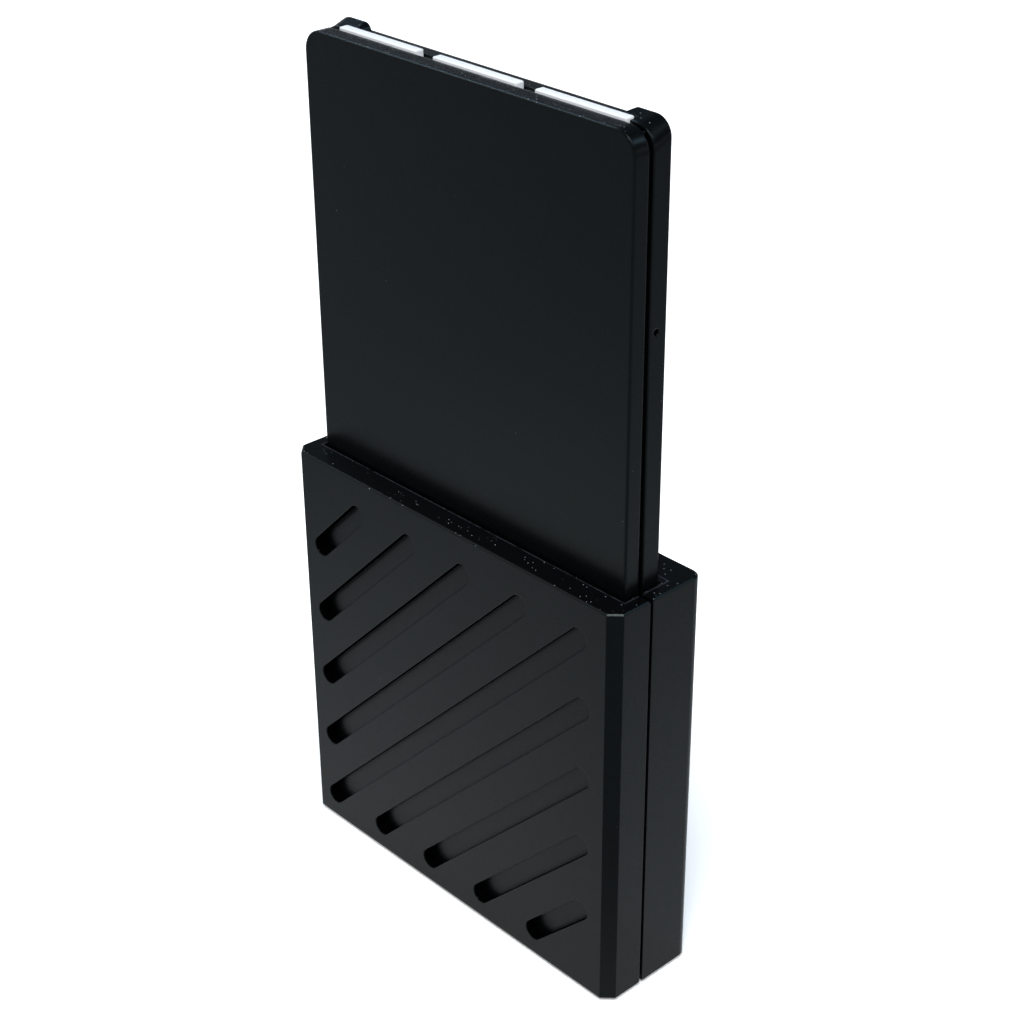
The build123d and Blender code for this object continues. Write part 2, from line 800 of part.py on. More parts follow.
def corner_webs(growth, mode):
    """Webs that fill the groove between the shells beside the outermost light bars."""
    y = (tray_inner_front, shell_split + web_depth + growth)
    z = (crown_bottom - shell_lip_thickness, tray_top - tray_plate + growth)
    inner = bars_room_half + web_gap - growth
    outer = tray_half - tray_corner_radius / 2 + growth
    for side in (-1, 1):
        block(sorted((side * inner, side * outer)), y, z, mode)


def shell_outline(y, top, corner_radius):
    """The tray's outline at this depth and up to this height, facing the front."""
    with BuildSketch(facing_front(y)) as outline:
        with Locations((0, (tray_bottom + top) / 2)):
            Rectangle(2 * tray_half, top - tray_bottom)
        fillet(outline.vertices().group_by(Axis.Y)[-1], corner_radius)
        fillet(outline.vertices().group_by(Axis.Y)[0], tray_foot_radius)
    return outline.sketch


def shell_hollow(top):
    """The outline of the tray's hollow up to this height, facing the front."""
    with BuildSketch(facing_front(0)) as hollow:
        with Locations((0, (tray_inner_bottom + top) / 2)):
            Rectangle(2 * tray_inner_half, top - tray_inner_bottom)
        fillet(hollow.vertices().group_by(Axis.Y)[-1], tray_corner_radius - tray_plate)
    return hollow.sketch


def socket_window():
    """Cut the way for the drive socket and for the contact pins into the tray's underside."""
    block(recess_x, recess_y, (tray_bottom, tray_inner_bottom), Mode.SUBTRACT)
    block(about(contact_x, contact_block_width + 2 * contact_window_gap),
          about(drive_middle, contact_block_thickness + 2 * contact_window_gap),
          (tray_bottom, tray_inner_bottom), Mode.SUBTRACT)


with BuildPart() as tray_front_shell:
    extrude(shell_outline(tray_front, tray_top, tray_corner_radius), amount=-front_shell_depth)
    fillet(tray_front_shell.faces().sort_by(Axis.Y)[0].edges(), tray_edge_round)
    chamfer(tray_front_shell.faces().sort_by(Axis.Y)[-1].edges(), tray_edge_round / 3)
    extrude(shell_hollow(tray_top - tray_plate).moved(Location((0, tray_inner_front, 0))),
            amount=-front_shell_depth, mode=Mode.SUBTRACT)
    extrude(shell_lip(), amount=-(shell_split + shell_lip_depth - tray_inner_front))
    block((-bars_room_half, bars_room_half), (tray_inner_front, tray_back),
          (crown_bottom - shell_lip_window, tray_top - tray_plate), Mode.SUBTRACT)
    corner_webs(0, Mode.ADD)
    for side in (-1, 1):
        boss_x = sorted((side * shell_boss_inner, side * shell_lip_half))
        for z in shell_screw_heights:
            block(boss_x, (tray_inner_front, tray_inner_back), about(z, shell_boss_height))
    for x, z in shell_screw_places:
        rod(shell_screw_radius + running_clearance, x, z, (tray_inner_front, tray_inner_back), Mode.SUBTRACT)
    socket_window()
finish(tray_front_shell, "tray_front_shell")

with BuildPart() as tray_rear_shell:
    extrude(shell_outline(rear_shell_front, tray_top, tray_corner_radius), amount=-ear_setback)
    loft([shell_outline(rear_shell_front + ear_setback, tray_top, tray_corner_radius).face(),
          shell_outline(tray_back, ear_top, ear_corner_radius).face()], ruled=True)
    fillet(tray_rear_shell.faces().sort_by(Axis.Y)[-1].edges(), tray_edge_round)
    chamfer(tray_rear_shell.faces().sort_by(Axis.Y)[0].edges(), tray_edge_round / 3)
    with BuildSketch(facing_front(rear_shell_front)):
        with BuildLine():
            Polyline((-ear_inner, ear_top), (-ear_inner, ear_top + ear_drop), (ear_inner, ear_top + ear_drop),
                     (ear_inner, ear_top))
            TangentArc((ear_inner, ear_top), (crown_half, crown_top), tangent=(-1, 0))
            Line((crown_half, crown_top), (-crown_half, crown_top))
            TangentArc((-ear_inner, ear_top), (-crown_half, crown_top), tangent=(1, 0))
        make_face()
    extrude(amount=rear_shell_front - tray_back, mode=Mode.SUBTRACT)
    extrude(shell_hollow(crown_bottom).moved(Location((0, rear_shell_front, 0))),
            amount=rear_shell_front - tray_inner_back, mode=Mode.SUBTRACT)
    block((-bars_room_half, bars_room_half), (rear_shell_front, crown_front),
          (crown_bottom - tray_corner_radius, ear_top), Mode.SUBTRACT)
    for side in (-1, 1):
        block(about(side * bar_rib_x, bar_rib_width), (rear_shell_front, crown_front),
              (crown_bottom, crown_top - bar_rib_drop))
    corner_webs(fit_clearance, Mode.SUBTRACT)
    for side in (-1, 1):
        block(about(side * lug_x, lug_width), (tray_inner_back, guide_back - lug_tip_gap),
              (lug_low, lug_low + lug_height))
    for x, z in shell_screw_places:
        rod(shell_screw_radius + fit_clearance, x, z, (tray_inner_back, tray_back), Mode.SUBTRACT)
        rod(shell_head_radius + fit_clearance, x, z, (tray_back - shell_head_depth, tray_back), Mode.SUBTRACT)
    for z in (pin_hole_z, closed_pin_z):
        with Locations((tray_half, pin_hole_y, z)):
            Cylinder(pin_hole_radius, 2 * tray_rim, rotation=(0, 90, 0), mode=Mode.SUBTRACT)
    socket_window()
finish(tray_rear_shell, "tray_rear_shell")

with BuildPart() as shell_screws:
    screws(shell_screw_places, shell_head_radius, shell_screw_radius, tray_back - shell_head_depth,
           tray_inner_back - shell_screw_grip, tray_back - fit_clearance)
finish(shell_screws, "shell_screws")

# Light bars, and the board with the lamps below them
bar_places = {
    "light_bar_left": -(bar_length + bar_gap),
    "light_bar_middle": 0.0,
    "light_bar_right": bar_length + bar_gap,
}
for name, x in bar_places.items():
    with BuildPart() as light_bar:
        block(about(x, bar_length), bar_y, (bar_bottom, bar_bottom + bar_height))
        fillet(light_bar.edges().filter_by(Axis.Y).group_by(Axis.Z)[-1], bar_round)
        fillet(light_bar.faces().sort_by(Axis.Z)[-1].edges().filter_by(Axis.X), bar_edge_round)
        for leg_x in about(x, bar_length - bar_leg):
            block(about(leg_x, bar_leg), bar_y, (light_board_top, bar_bottom))
    finish(light_bar, name)

ribbon_front = drive_back + ribbon_gap
light_board_half = tray_inner_half - tray_corner_radius + tray_plate
with BuildPart() as light_board:
    block((-light_board_half, light_board_half), (tray_inner_front, ribbon_front),
          (light_board_bottom, light_board_top))
finish(light_board, "light_board")

with BuildPart() as lamps:
    for x in bar_places.values():
        for lamp_x in about(x, bar_length / 2):
            block(about(lamp_x, lamp_length), about(sum(bar_y) / 2, lamp_width),
                  (light_board_top, light_board_top + lamp_height))
finish(lamps, "lamps")

contact_pad_top = tray_inner_bottom + contact_pad_thickness
with BuildPart() as contact_pads:
    block(about(contact_x, contact_block_width + 2 * contact_pad_side),
          about(drive_middle, contact_block_thickness + 2 * contact_pad_edge),
          (tray_inner_bottom, contact_pad_top))
finish(contact_pads, "contact_pads")

with BuildPart() as light_ribbon:
    ribbon_y = ribbon_front + ribbon_thickness / 2
    ribbon_foot_z = contact_pad_top + ribbon_thickness / 2
    with BuildSketch(Plane.YZ.offset(contact_x - ribbon_width / 2)):
        with BuildLine():
            Polyline((drive_middle, ribbon_foot_z), (ribbon_y, ribbon_foot_z), (ribbon_y, light_board_top))
        trace(line_width=ribbon_thickness)
    extrude(amount=ribbon_width)
finish(light_ribbon, "light_ribbon")

rail_clearance = shell_boss_height / 2 + rail_end_gap
rail_z = (shell_screw_heights[0] + rail_clearance, shell_screw_heights[1] - rail_clearance)
for name, side in {"drive_rail_left": -1, "drive_rail_right": 1}.items():
    with BuildPart() as drive_rail:
        block(sorted((side * drive_half, side * (shell_lip_half - shell_lip_thickness))),
              (tray_inner_front, tray_inner_back), rail_z)
    finish(drive_rail, name)

with BuildPart() as thermal_pad:
    block((pad_side_inset - drive_half, drive_half - pad_side_inset), (tray_inner_front, drive_front),
          (drive_bottom + pad_foot_inset, drive_top - pad_top_inset))
finish(thermal_pad, "thermal_pad")

with BuildPart() as insulating_sheet:
    block((sheet_side_inset - drive_half, drive_half - sheet_side_inset),
          (tray_inner_back - sheet_thickness, tray_inner_back),
          (drive_bottom + sheet_end_inset, drive_top - sheet_end_inset))
finish(insulating_sheet, "insulating_sheet")

# Drive: the casting has a round pocket for the disc and a square one for the head arm
plug_body_top = drive_bottom + plug_depth + plug_body_depth
arm_pocket_half = pocket_radius - pocket_side_step
drive_board_z = (drive_bottom + plug_depth + drive_board_rise, spindle_z - disc_radius / 3)
drive_board_half = drive_half - drive_board_side
drive_screw_x = drive_half - drive_screw_inset
drive_screw_places = [
    (side * drive_screw_x, z)
    for side in (-1, 1) for z in (drive_bottom + drive_screw_rise, drive_top - drive_screw_drop)
]
with BuildPart() as drive_base:
    with BuildSketch(facing_front(casting_front)) as outline:
        with Locations((0, (drive_bottom + drive_top) / 2)):
            Rectangle(2 * drive_half, drive_length)
        fillet(outline.vertices(), drive_corner_radius)
    extrude(amount=casting_front - drive_back)
    rod(pocket_radius, 0, spindle_z, (casting_front, pocket_back), Mode.SUBTRACT)
    block((-arm_pocket_half, arm_pocket_half), (casting_front, pocket_back),
          (plug_body_top + pocket_foot_gap, spindle_z - disc_radius / 2), Mode.SUBTRACT)
    block((-drive_board_half, drive_board_half), (board_pocket, drive_back), drive_board_z, Mode.SUBTRACT)
    block(recess_x, recess_y, (drive_bottom, drive_bottom + plug_depth), Mode.SUBTRACT)
    block(recess_x, (recess_y[0], board_pocket), (drive_bottom + plug_depth, plug_body_top), Mode.SUBTRACT)
    rod(spindle_bore, 0, spindle_z, (casting_front + spindle_end_gap, pocket_back))
    rod(pivot_radius, pivot_x, pivot_z, (casting_front + pivot_end_gap, pocket_back))
    for x, z in drive_screw_places:
        rod(drive_screw_radius + running_clearance, x, z, (casting_front, casting_front + drive_screw_depth),
            Mode.SUBTRACT)
finish(drive_base, "drive_base")

with BuildPart() as drive_cover:
    with BuildSketch(facing_front(drive_front)) as outline:
        with Locations((0, (drive_bottom + drive_top) / 2)):
            Rectangle(2 * (drive_half - drive_cover_inset), drive_length - 2 * drive_cover_inset)
        fillet(outline.vertices(), drive_corner_radius)
    extrude(amount=-drive_cover_thickness)
    for x, z in drive_screw_places:
        rod(drive_screw_radius + fit_clearance, x, z, (drive_front, casting_front), Mode.SUBTRACT)
finish(drive_cover, "drive_cover")

with BuildPart() as drive_screws:
    for x, z in drive_screw_places:
        rod(drive_screw_head, x, z, (drive_front - drive_screw_head_height, drive_front))
        rod(drive_screw_radius, x, z, (drive_front, casting_front + drive_screw_depth - drive_screw_tip_gap))
finish(drive_screws, "drive_screws")

with BuildPart() as drive_board:
    block((fit_clearance - drive_board_half, drive_board_half - fit_clearance), (board_pocket, drive_back),
          (drive_board_z[0] + fit_clearance, drive_board_z[1] - fit_clearance))
    rod(hub_radius - drive_board_hole_inset, 0, spindle_z, (board_pocket, drive_back), Mode.SUBTRACT)
finish(drive_board, "drive_board")

with BuildPart() as drive_plug:
    block(socket_x, (recess_y[0] + fit_clearance, board_pocket), (drive_bottom + plug_depth, plug_body_top))
    for tongue_x in tongue_spans(plug_side_gap):
        block(tongue_x, about(drive_middle, plug_tongue),
              (drive_bottom + plug_tongue_setback, drive_bottom + plug_depth))
finish(drive_plug, "drive_plug")

# Disc, its hub and clamp, which spin on the spindle
disc_y = about(pocket_middle, disc_thickness)
hub_y = (disc_y[0] - clamp_height, pocket_back - disc_running_gap)
bore = spindle_bore + running_clearance
with BuildPart() as platter:
    rod(disc_radius, 0, spindle_z, disc_y)
    rod(hub_radius - hub_step, 0, spindle_z, disc_y, Mode.SUBTRACT)
finish(platter, "platter")

with BuildPart() as spindle_hub:
    rod(hub_radius - hub_step, 0, spindle_z, hub_y)
    rod(hub_radius, 0, spindle_z, (disc_y[1], hub_y[1]))
    rod(bore, 0, spindle_z, hub_y, Mode.SUBTRACT)
finish(spindle_hub, "spindle_hub")

with BuildPart() as disc_clamp:
    rod(hub_radius, 0, spindle_z, (disc_y[0] - clamp_height, disc_y[0]))
    rod(hub_radius - hub_step, 0, spindle_z, (disc_y[0] - clamp_height, disc_y[0]), Mode.SUBTRACT)
finish(disc_clamp, "disc_clamp")

# Head arm, parked beside the disc: its direction comes from the triangle of spindle, pivot and head
pivot_distance = hypot(pivot_x, spindle_z - pivot_z)
spindle_angle = degrees(atan2(spindle_z - pivot_z, -pivot_x))
parked_radius = disc_radius + park_gap
park_cosine = (pivot_distance**2 + arm_length**2 - parked_radius**2) / (2 * pivot_distance * arm_length)
arm_angle = spindle_angle + degrees(acos(park_cosine))
arm_y = (casting_front + arm_side_gap, pocket_back - arm_side_gap)
blade_levels = (disc_y[0] - arm_blade_gap - arm_blade, disc_y[1] + arm_blade_gap)


def from_pivot(radius, turn):
    """A point at this distance from the pivot, turned from the arm's own direction."""
    angle = radians(arm_angle + turn)
    return pivot_x + radius * cos(angle), pivot_z + radius * sin(angle)


def sector(inner, outer, low_turn, high_turn, y):
    """Add a ring sector about the pivot."""
    middle = (low_turn + high_turn) / 2
    with BuildSketch(facing_front(y[0])) as profile:
        with BuildLine():
            outside = ThreePointArc(*(from_pivot(outer, turn) for turn in (low_turn, middle, high_turn)))
            inside = ThreePointArc(*(from_pivot(inner, turn) for turn in (low_turn, middle, high_turn)))
            Line(outside @ 0, inside @ 0)
            Line(outside @ 1, inside @ 1)
        make_face()
    extrude(profile.sketch, amount=y[0] - y[1])


tip_radius = arm_length + arm_tip_extra
root_turn = degrees(acos(arm_root_radius / (arm_length + arm_taper_length)))
tip_turn = degrees(atan2(arm_tip_width / 2, tip_radius))
with BuildPart() as head_arm:
    rod(arm_root_radius, pivot_x, pivot_z, arm_y)
    for level in blade_levels:
        with BuildSketch(facing_front(level)):
            with BuildLine():
                Polyline(from_pivot(arm_root_radius, root_turn), from_pivot(tip_radius, tip_turn),
                         from_pivot(tip_radius, -tip_turn), from_pivot(arm_root_radius, -root_turn),
                         close=True)
            make_face()
        extrude(amount=-arm_blade)
    rod(pivot_radius + running_clearance, pivot_x, pivot_z, arm_y, Mode.SUBTRACT)
finish(head_arm, "head_arm")

coil_y = disc_y
with BuildPart() as voice_coil:
    sector(arm_root_radius, coil_outer_radius, 180 - coil_angle, 180 + coil_angle, coil_y)
finish(voice_coil, "voice_coil")

with BuildPart() as magnets:
    sector(magnet_inner_radius, coil_outer_radius, 180 - swing_angle - coil_angle + magnet_end_angle,
           180 + coil_angle, (coil_y[1] + magnet_gap, pocket_back))
finish(magnets, "magnets")

ramp_outer = arm_length - ramp_inner_gap + ramp_width
with BuildPart() as head_ramp:
    sector(ramp_outer - ramp_width, ramp_outer, ramp_low_angle, ramp_high_angle,
           about(pocket_middle, ramp_thickness))
    sector(ramp_outer - ramp_wall, ramp_outer, ramp_low_angle, ramp_high_angle, (pocket_middle, pocket_back))
finish(head_ramp, "head_ramp")
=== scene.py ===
import json
from math import atan2, cos, pi, radians, sin

import bmesh
import bpy
from bpy.props import FloatProperty, FloatVectorProperty, IntProperty, PointerProperty
from mathutils import Matrix, Vector


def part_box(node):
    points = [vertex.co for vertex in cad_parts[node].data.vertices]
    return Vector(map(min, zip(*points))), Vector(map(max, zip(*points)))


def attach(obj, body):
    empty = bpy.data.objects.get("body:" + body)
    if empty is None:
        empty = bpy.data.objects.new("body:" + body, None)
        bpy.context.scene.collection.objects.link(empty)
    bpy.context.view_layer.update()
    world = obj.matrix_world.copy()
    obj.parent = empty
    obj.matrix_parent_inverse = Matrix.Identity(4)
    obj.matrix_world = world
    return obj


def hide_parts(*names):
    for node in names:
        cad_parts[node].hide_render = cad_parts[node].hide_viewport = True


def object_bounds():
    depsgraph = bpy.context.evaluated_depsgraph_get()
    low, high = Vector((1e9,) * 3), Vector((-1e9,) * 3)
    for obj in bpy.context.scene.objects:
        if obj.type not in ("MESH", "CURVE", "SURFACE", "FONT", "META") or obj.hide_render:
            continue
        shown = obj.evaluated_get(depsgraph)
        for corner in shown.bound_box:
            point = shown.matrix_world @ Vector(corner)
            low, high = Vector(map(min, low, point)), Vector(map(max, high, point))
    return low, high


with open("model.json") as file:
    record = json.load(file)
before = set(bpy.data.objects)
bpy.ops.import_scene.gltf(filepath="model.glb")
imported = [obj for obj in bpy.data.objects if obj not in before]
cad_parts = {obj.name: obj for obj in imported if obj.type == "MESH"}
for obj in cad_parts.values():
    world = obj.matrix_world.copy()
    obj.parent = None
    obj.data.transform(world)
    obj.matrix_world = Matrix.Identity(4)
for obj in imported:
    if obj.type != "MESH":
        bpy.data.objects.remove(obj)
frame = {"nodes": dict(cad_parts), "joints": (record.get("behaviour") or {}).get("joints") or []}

bl_info = {
    "name": "Drive Enclosure Looks",
    "version": (1, 0, 0),
    "blender": (4, 5, 0),
    "location": "3D View > Sidebar > Enclosure",
    "description": "Dresses the packed drive enclosure: shells, light bars, screws, boards, drive",
    "category": "Object",
}

MM = 0.001
WHITE = (1, 1, 1, 1)
DARK = (0, 0, 0, 1)
# Matt near-black that is painted as shade on the grooves' walls.
SHADE_BLACK = (0.0006, 0.0007, 0.0008, 1)
DUST_GREY = (0.33, 0.34, 0.36, 1)
# Near black painted as the shade inside the boards' holes.
HOLE_SHADE = (0.01, 0.012, 0.01, 1)
cad_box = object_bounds()


# Sizes and colours that a user would change


def colour_property(name, description, default):
    """A colour that a user can pick."""
    return FloatVectorProperty(name=name, description=description, default=default,
                               subtype="COLOR", min=0, max=1)


def length_property(name, description, default_mm):
    """A length, kept in metres."""
    return FloatProperty(name=name, description=description, default=default_mm * MM, min=0,
                         subtype="DISTANCE", unit="LENGTH", precision=5)


def place_property(name, description, default):
    """A place in the scene, in metres."""
    return FloatVectorProperty(name=name, description=description, default=default,
                               subtype="TRANSLATION", unit="LENGTH")


def turn_property(name, description, default_degrees):
    """An angle, kept in radians."""
    return FloatProperty(name=name, description=description, default=radians(default_degrees),
                         subtype="ANGLE", unit="ROTATION")


def share_property(name, description, default):
    """A share from 0 to 1."""
    return FloatProperty(name=name, description=description, default=default, min=0, max=1,
                         subtype="FACTOR")


class ENCLOSURE_PG_finish(bpy.types.PropertyGroup):
    """Colours and gloss of the finishes."""

    black: colour_property("Black", "Anodised black of the sleeve and tray",
                           (0.0014, 0.0017, 0.0021))
    # Painted highlight: the pale colour of the ring round the sleeve's mouth.
    mouth_highlight: colour_property("Worn black", "Black where edges are rubbed", (0.03, 0.03, 0.038))
    black_roughness: share_property("Black roughness", "Roughness of the satin black", 0.22)
    cover_gloss: share_property("Cover gloss", "Specular level of the sleeve's black", 0.095)
    shell_gloss: share_property("Shell gloss", "Specular level of the tray's black", 0.117)
    dust: share_property("Dust", "Share of the surface's cells that hold a speck of dust", 0.01)
    dust_on_top: share_property("Dust on top", "What the faces that look up hold more", 0.8)
    milky: colour_property("Light bar", "Milky plastic of the light bars", (0.82, 0.83, 0.85))
    steel: colour_property("Steel", "Bare steel", (0.56, 0.57, 0.58))
    gold: colour_property("Gold", "Plating of the contacts", (0.85, 0.62, 0.24))
    board: colour_property("Board", "Solder mask of the boards", (0.012, 0.09, 0.045))


class ENCLOSURE_PG_sizes(bpy.types.PropertyGroup):
    """Sizes of the fine details."""

    cover_softness: length_property("Cover softness", "Radius of the covers' soft edges", 0.14)
    shell_softness: length_property("Shell softness", "Radius of the shells' soft edges", 0.5)
    bar_round: length_property("Bar rounding", "Rounding of the light bars' edges", 0.28)
    foot_round: length_property("Foot rounding", "Rounding of the feet's edges", 0.18)
    foot_ribs: IntProperty(name="Foot ribs", description="Ribs under each foot", default=5,
                           min=1)
    rib_depth: length_property("Rib depth", "Depth between the ribs of the feet", 0.15)
    screw_bevel: length_property("Screw bevel", "Bevel of the screw heads", 0.12)
    screw_lobes: IntProperty(name="Screw lobes", description="Lobes of a screw's recess",
                             default=6, min=3)
    contact_pitch: length_property("Contact pitch", "Pitch of the side socket's contacts", 0.5)


class ENCLOSURE_PG_studio(bpy.types.PropertyGroup):
    """Camera, floor and surroundings."""

    azimuth: turn_property("Azimuth", "Direction of the camera round the object", 47.093)
    elevation: turn_property("Elevation", "Height of the camera above the horizon", 28.955)
    roll: turn_property("Roll", "Turn of the camera about its own axis", -0.418)
    position: place_property("Position", "Place of the camera", (0.24652, -0.22306, 0.26690))
    lens: FloatProperty(name="Lens", description="Focal length in millimetres", default=73.57,
                        min=1)
    floor: colour_property("Floor", "Floor under the object", (0.9, 0.9, 0.9))
    far_floor: colour_property("Far floor", "Floor where the light pool ends",
                               (0.53, 0.54, 0.55))
    pool_centre: place_property("Pool centre", "Middle of the light pool on the floor",
                                (0.03, -0.03, 0))
    pool_radius: length_property("Pool radius", "Radius of the light pool on the floor", 125)
    near_glow: share_property("Near glow", "Glow that brings the near floor up to white", 0.25)
    far_glow: share_property("Far glow", "Glow that brings the far floor up to white", 1.0)
    sky: colour_property("Surroundings", "Soft light from all round", (0.59, 0.77, 1.0))
    sky_strength: share_property("Surroundings strength", "Brightness all round", 0.145)


# Shader arithmetic


class Wire:
    """An output socket: arithmetic on it adds the Math nodes."""

    def __init__(self, paint, socket):
        self.paint, self.socket = paint, socket

    def __add__(self, other):
        return self.paint.math("ADD", self, other)

    def __sub__(self, other):
        return self.paint.math("SUBTRACT", self, other)

    def __rsub__(self, other):
        return self.paint.math("SUBTRACT", other, self)

    def __mul__(self, other):
        return self.paint.math("MULTIPLY", self, other)

    __radd__ = __add__
    __rmul__ = __mul__


class Paint:
    """A material or a world in the making: node adds any node, shade or surround ends it."""

    def __init__(self, name, family="materials"):
        self.owner = getattr(bpy.data, family).new(name)
        self.owner.use_nodes = True
        self.tree = self.owner.node_tree
        self.tree.nodes.clear()
        self.place = self.node("ShaderNodeTexCoord", outlet="Object")

    def node(self, kind, settings=None, inlets=None, outlet=0):
        """Add a node: its settings first, then the values or links of its sockets."""
        node = self.tree.nodes.new(kind)
        for name, value in (settings or {}).items():
            setattr(node, name, value)
        for name, value in (inlets or {}).items():
            if isinstance(value, Wire):
                self.tree.links.new(value.socket, node.inputs[name])
            else:
                node.inputs[name].default_value = value
        return Wire(self, node.outputs[outlet]) if node.outputs else None

    def math(self, operation, first, second=0):
        """One or two values through a Math node."""
        return self.node("ShaderNodeMath", {"operation": operation}, {0: first, 1: second})

    def vector(self, operation, first, second=(0, 0, 0), outlet=0):
        """One or two vectors through a Vector Math node."""
        return self.node("ShaderNodeVectorMath", {"operation": operation},
                         {0: first, 1: second}, outlet)

    def step(self, value, low, high):
        """A soft step from 0 to 1 as the value goes from low to high."""
        return self.node("ShaderNodeMapRange", {"interpolation_type": "SMOOTHSTEP"},
                         {"Value": value, "From Min": low, "From Max": high})

    def window(self, value, rise, fall):
        """1 between a soft step up and a soft step down."""
        return self.step(value, *rise) * (1 - self.step(value, *fall))

    def below(self, value, limit):
        """1 where the value is below the limit."""
        return self.math("LESS_THAN", value, limit)

    def size(self, value):
        """The value without its sign."""
        return self.math("ABSOLUTE", value)

    def mix(self, share, first, second):
        """One colour turning into another."""
        factor, colour_a, colour_b, colour_out = 0, 6, 7, 2
        return self.node("ShaderNodeMix", {"data_type": "RGBA"},
                         {factor: share, colour_a: first, colour_b: second}, colour_out)

    def part(self, axis, vector):
        """One part of a vector."""
        return self.node("ShaderNodeSeparateXYZ", {}, {"Vector": vector}, axis)

    def shift(self, centre=(0, 0, 0), stretch=(1, 1, 1)):
        """The place on the object, measured from a centre and stretched."""
        return self.vector("MULTIPLY", self.vector("SUBTRACT", self.place, centre), stretch)

    def noise(self, size_mm, detail=2, where=None):
        """Soft noise with marks of about this size."""
        return self.node("ShaderNodeTexNoise", {}, {
            "Vector": where or self.place, "Scale": 1 / (size_mm * MM), "Detail": detail})

    def cells(self, size_mm, outlet="Distance", **settings):
        """Cells of about this size."""
        return self.node("ShaderNodeTexVoronoi", settings,
                         {"Vector": self.place, "Scale": 1 / (size_mm * MM)}, outlet)

    def chance(self, size_mm, **settings):
        """A number from 0 to 1 that is drawn once for each cell."""
        colour = self.cells(size_mm, "Color", **settings)
        return self.node("ShaderNodeSeparateColor", {}, {"Color": colour}, "Red")

    def bands(self, size_mm, where, **settings):
        """Bands or rings this far apart."""
        return self.node("ShaderNodeTexWave", settings,
                         {"Vector": where, "Scale": pi / 10 / (size_mm * MM)})

    def rays(self):
        """Whether the camera sees this point, and whether a mirror or glass does."""
        camera, glossy, through = (self.node("ShaderNodeLightPath", outlet=f"Is {kind} Ray")
                                   for kind in ("Camera", "Glossy", "Transmission"))
        return camera, self.math("MAXIMUM", glossy, through)

    def shade(self, colour, roughness, metallic=0.0, relief=None, depth_mm=0.01, normal=None,
              painted_shade=None, **constants):
        """End with the shader.

        Relief is a height for the surface's bump, unless a normal is given. Where the shade mask
        is 1, the surface is painted matt black as shade.
        """
        inlets = {"Base Color": colour, "Roughness": roughness, "Metallic": metallic}
        if relief is not None:
            normal = self.node("ShaderNodeBump", {}, {"Height": relief,
                                                      "Distance": depth_mm * MM})
        if normal is not None:
            inlets["Normal"] = normal
        for name, value in constants.items():
            inlets[name.replace("_", " ")] = value
        shader = self.node("ShaderNodeBsdfPrincipled", {}, inlets)
        if painted_shade is not None:
            # Painted shade: matt black with no shine where the mask is 1.
            matt = self.node("ShaderNodeBsdfPrincipled", {}, {
                "Base Color": SHADE_BLACK, "Roughness": 0.95, "Specular IOR Level": 0.0})
            shader = self.node("ShaderNodeMixShader", {}, {0: painted_shade, 1: shader, 2: matt})
        self.node("ShaderNodeOutputMaterial", {}, {"Surface": shader})
        return self.owner

    def surround(self, colour, strength):
        """End a world with its light."""
        light = self.node("ShaderNodeBackground", {}, {"Color": colour, "Strength": strength})
        self.node("ShaderNodeOutputWorld", {}, {"Surface": light})
        return self.owner


def opaque(colour, gain=1.0):
    """A colour with its alpha, made lighter or darker."""
    return (*(min(1.0, part * gain) for part in colour), 1.0)


def middle(box):
    """The middle of a box."""
    return (box[0] + box[1]) / 2


# Finishes


def painted_highlight_ring(paint, mouth):
    """1 on a ring round the sleeve's mouth where a pale highlight is painted, broken up by noise.
    """
    off_x, off_y, off_z = (paint.part(axis, paint.shift(middle(mouth))) for axis in "XYZ")
    reach = (mouth[1] - mouth[0]) / 2
    outside = paint.math("MAXIMUM", paint.size(off_x) - reach.x, paint.size(off_y) - reach.y)
    ring = paint.window(outside, (0.22 * MM, 0.32 * MM), (0.4 * MM, 0.62 * MM))
    level = paint.window(off_z, (reach.z - 0.5 * MM, reach.z - 0.3 * MM),
                         (reach.z + 0.2 * MM, reach.z + 0.4 * MM))
    return ring * paint.step(paint.noise(2.5, 4), 0.3, 0.55) * level


def groove_wall_shade(paint, cover, normal):
    """1 on the upright walls of the grooves milled into the cover's front, which are painted matt
    black as shade.
    """
    border, depth, upright = 3 * MM, 3 * MM, 0.6
    inset = (cover[1] - cover[0]) / 2 - Vector((border, 0, border))
    off_x, off_z = (paint.size(paint.part(axis, paint.shift(middle(cover)))) for axis in "XZ")
    near_front = paint.below(paint.part("Y", paint.place), cover[0].y + depth)
    wall = paint.below(paint.size(paint.part("Y", normal)), upright)
    return paint.below(off_x, inset.x) * paint.below(off_z, inset.z) * near_front * wall


def dust_specks(paint, held):
    """1 on specks of dust, in the share of the cells that hold one."""
    cell_mm = 0.95
    return (1 - paint.step(paint.cells(cell_mm), 0.06, 0.12)) * paint.step(
        held - paint.chance(cell_mm), 0, 0.02)


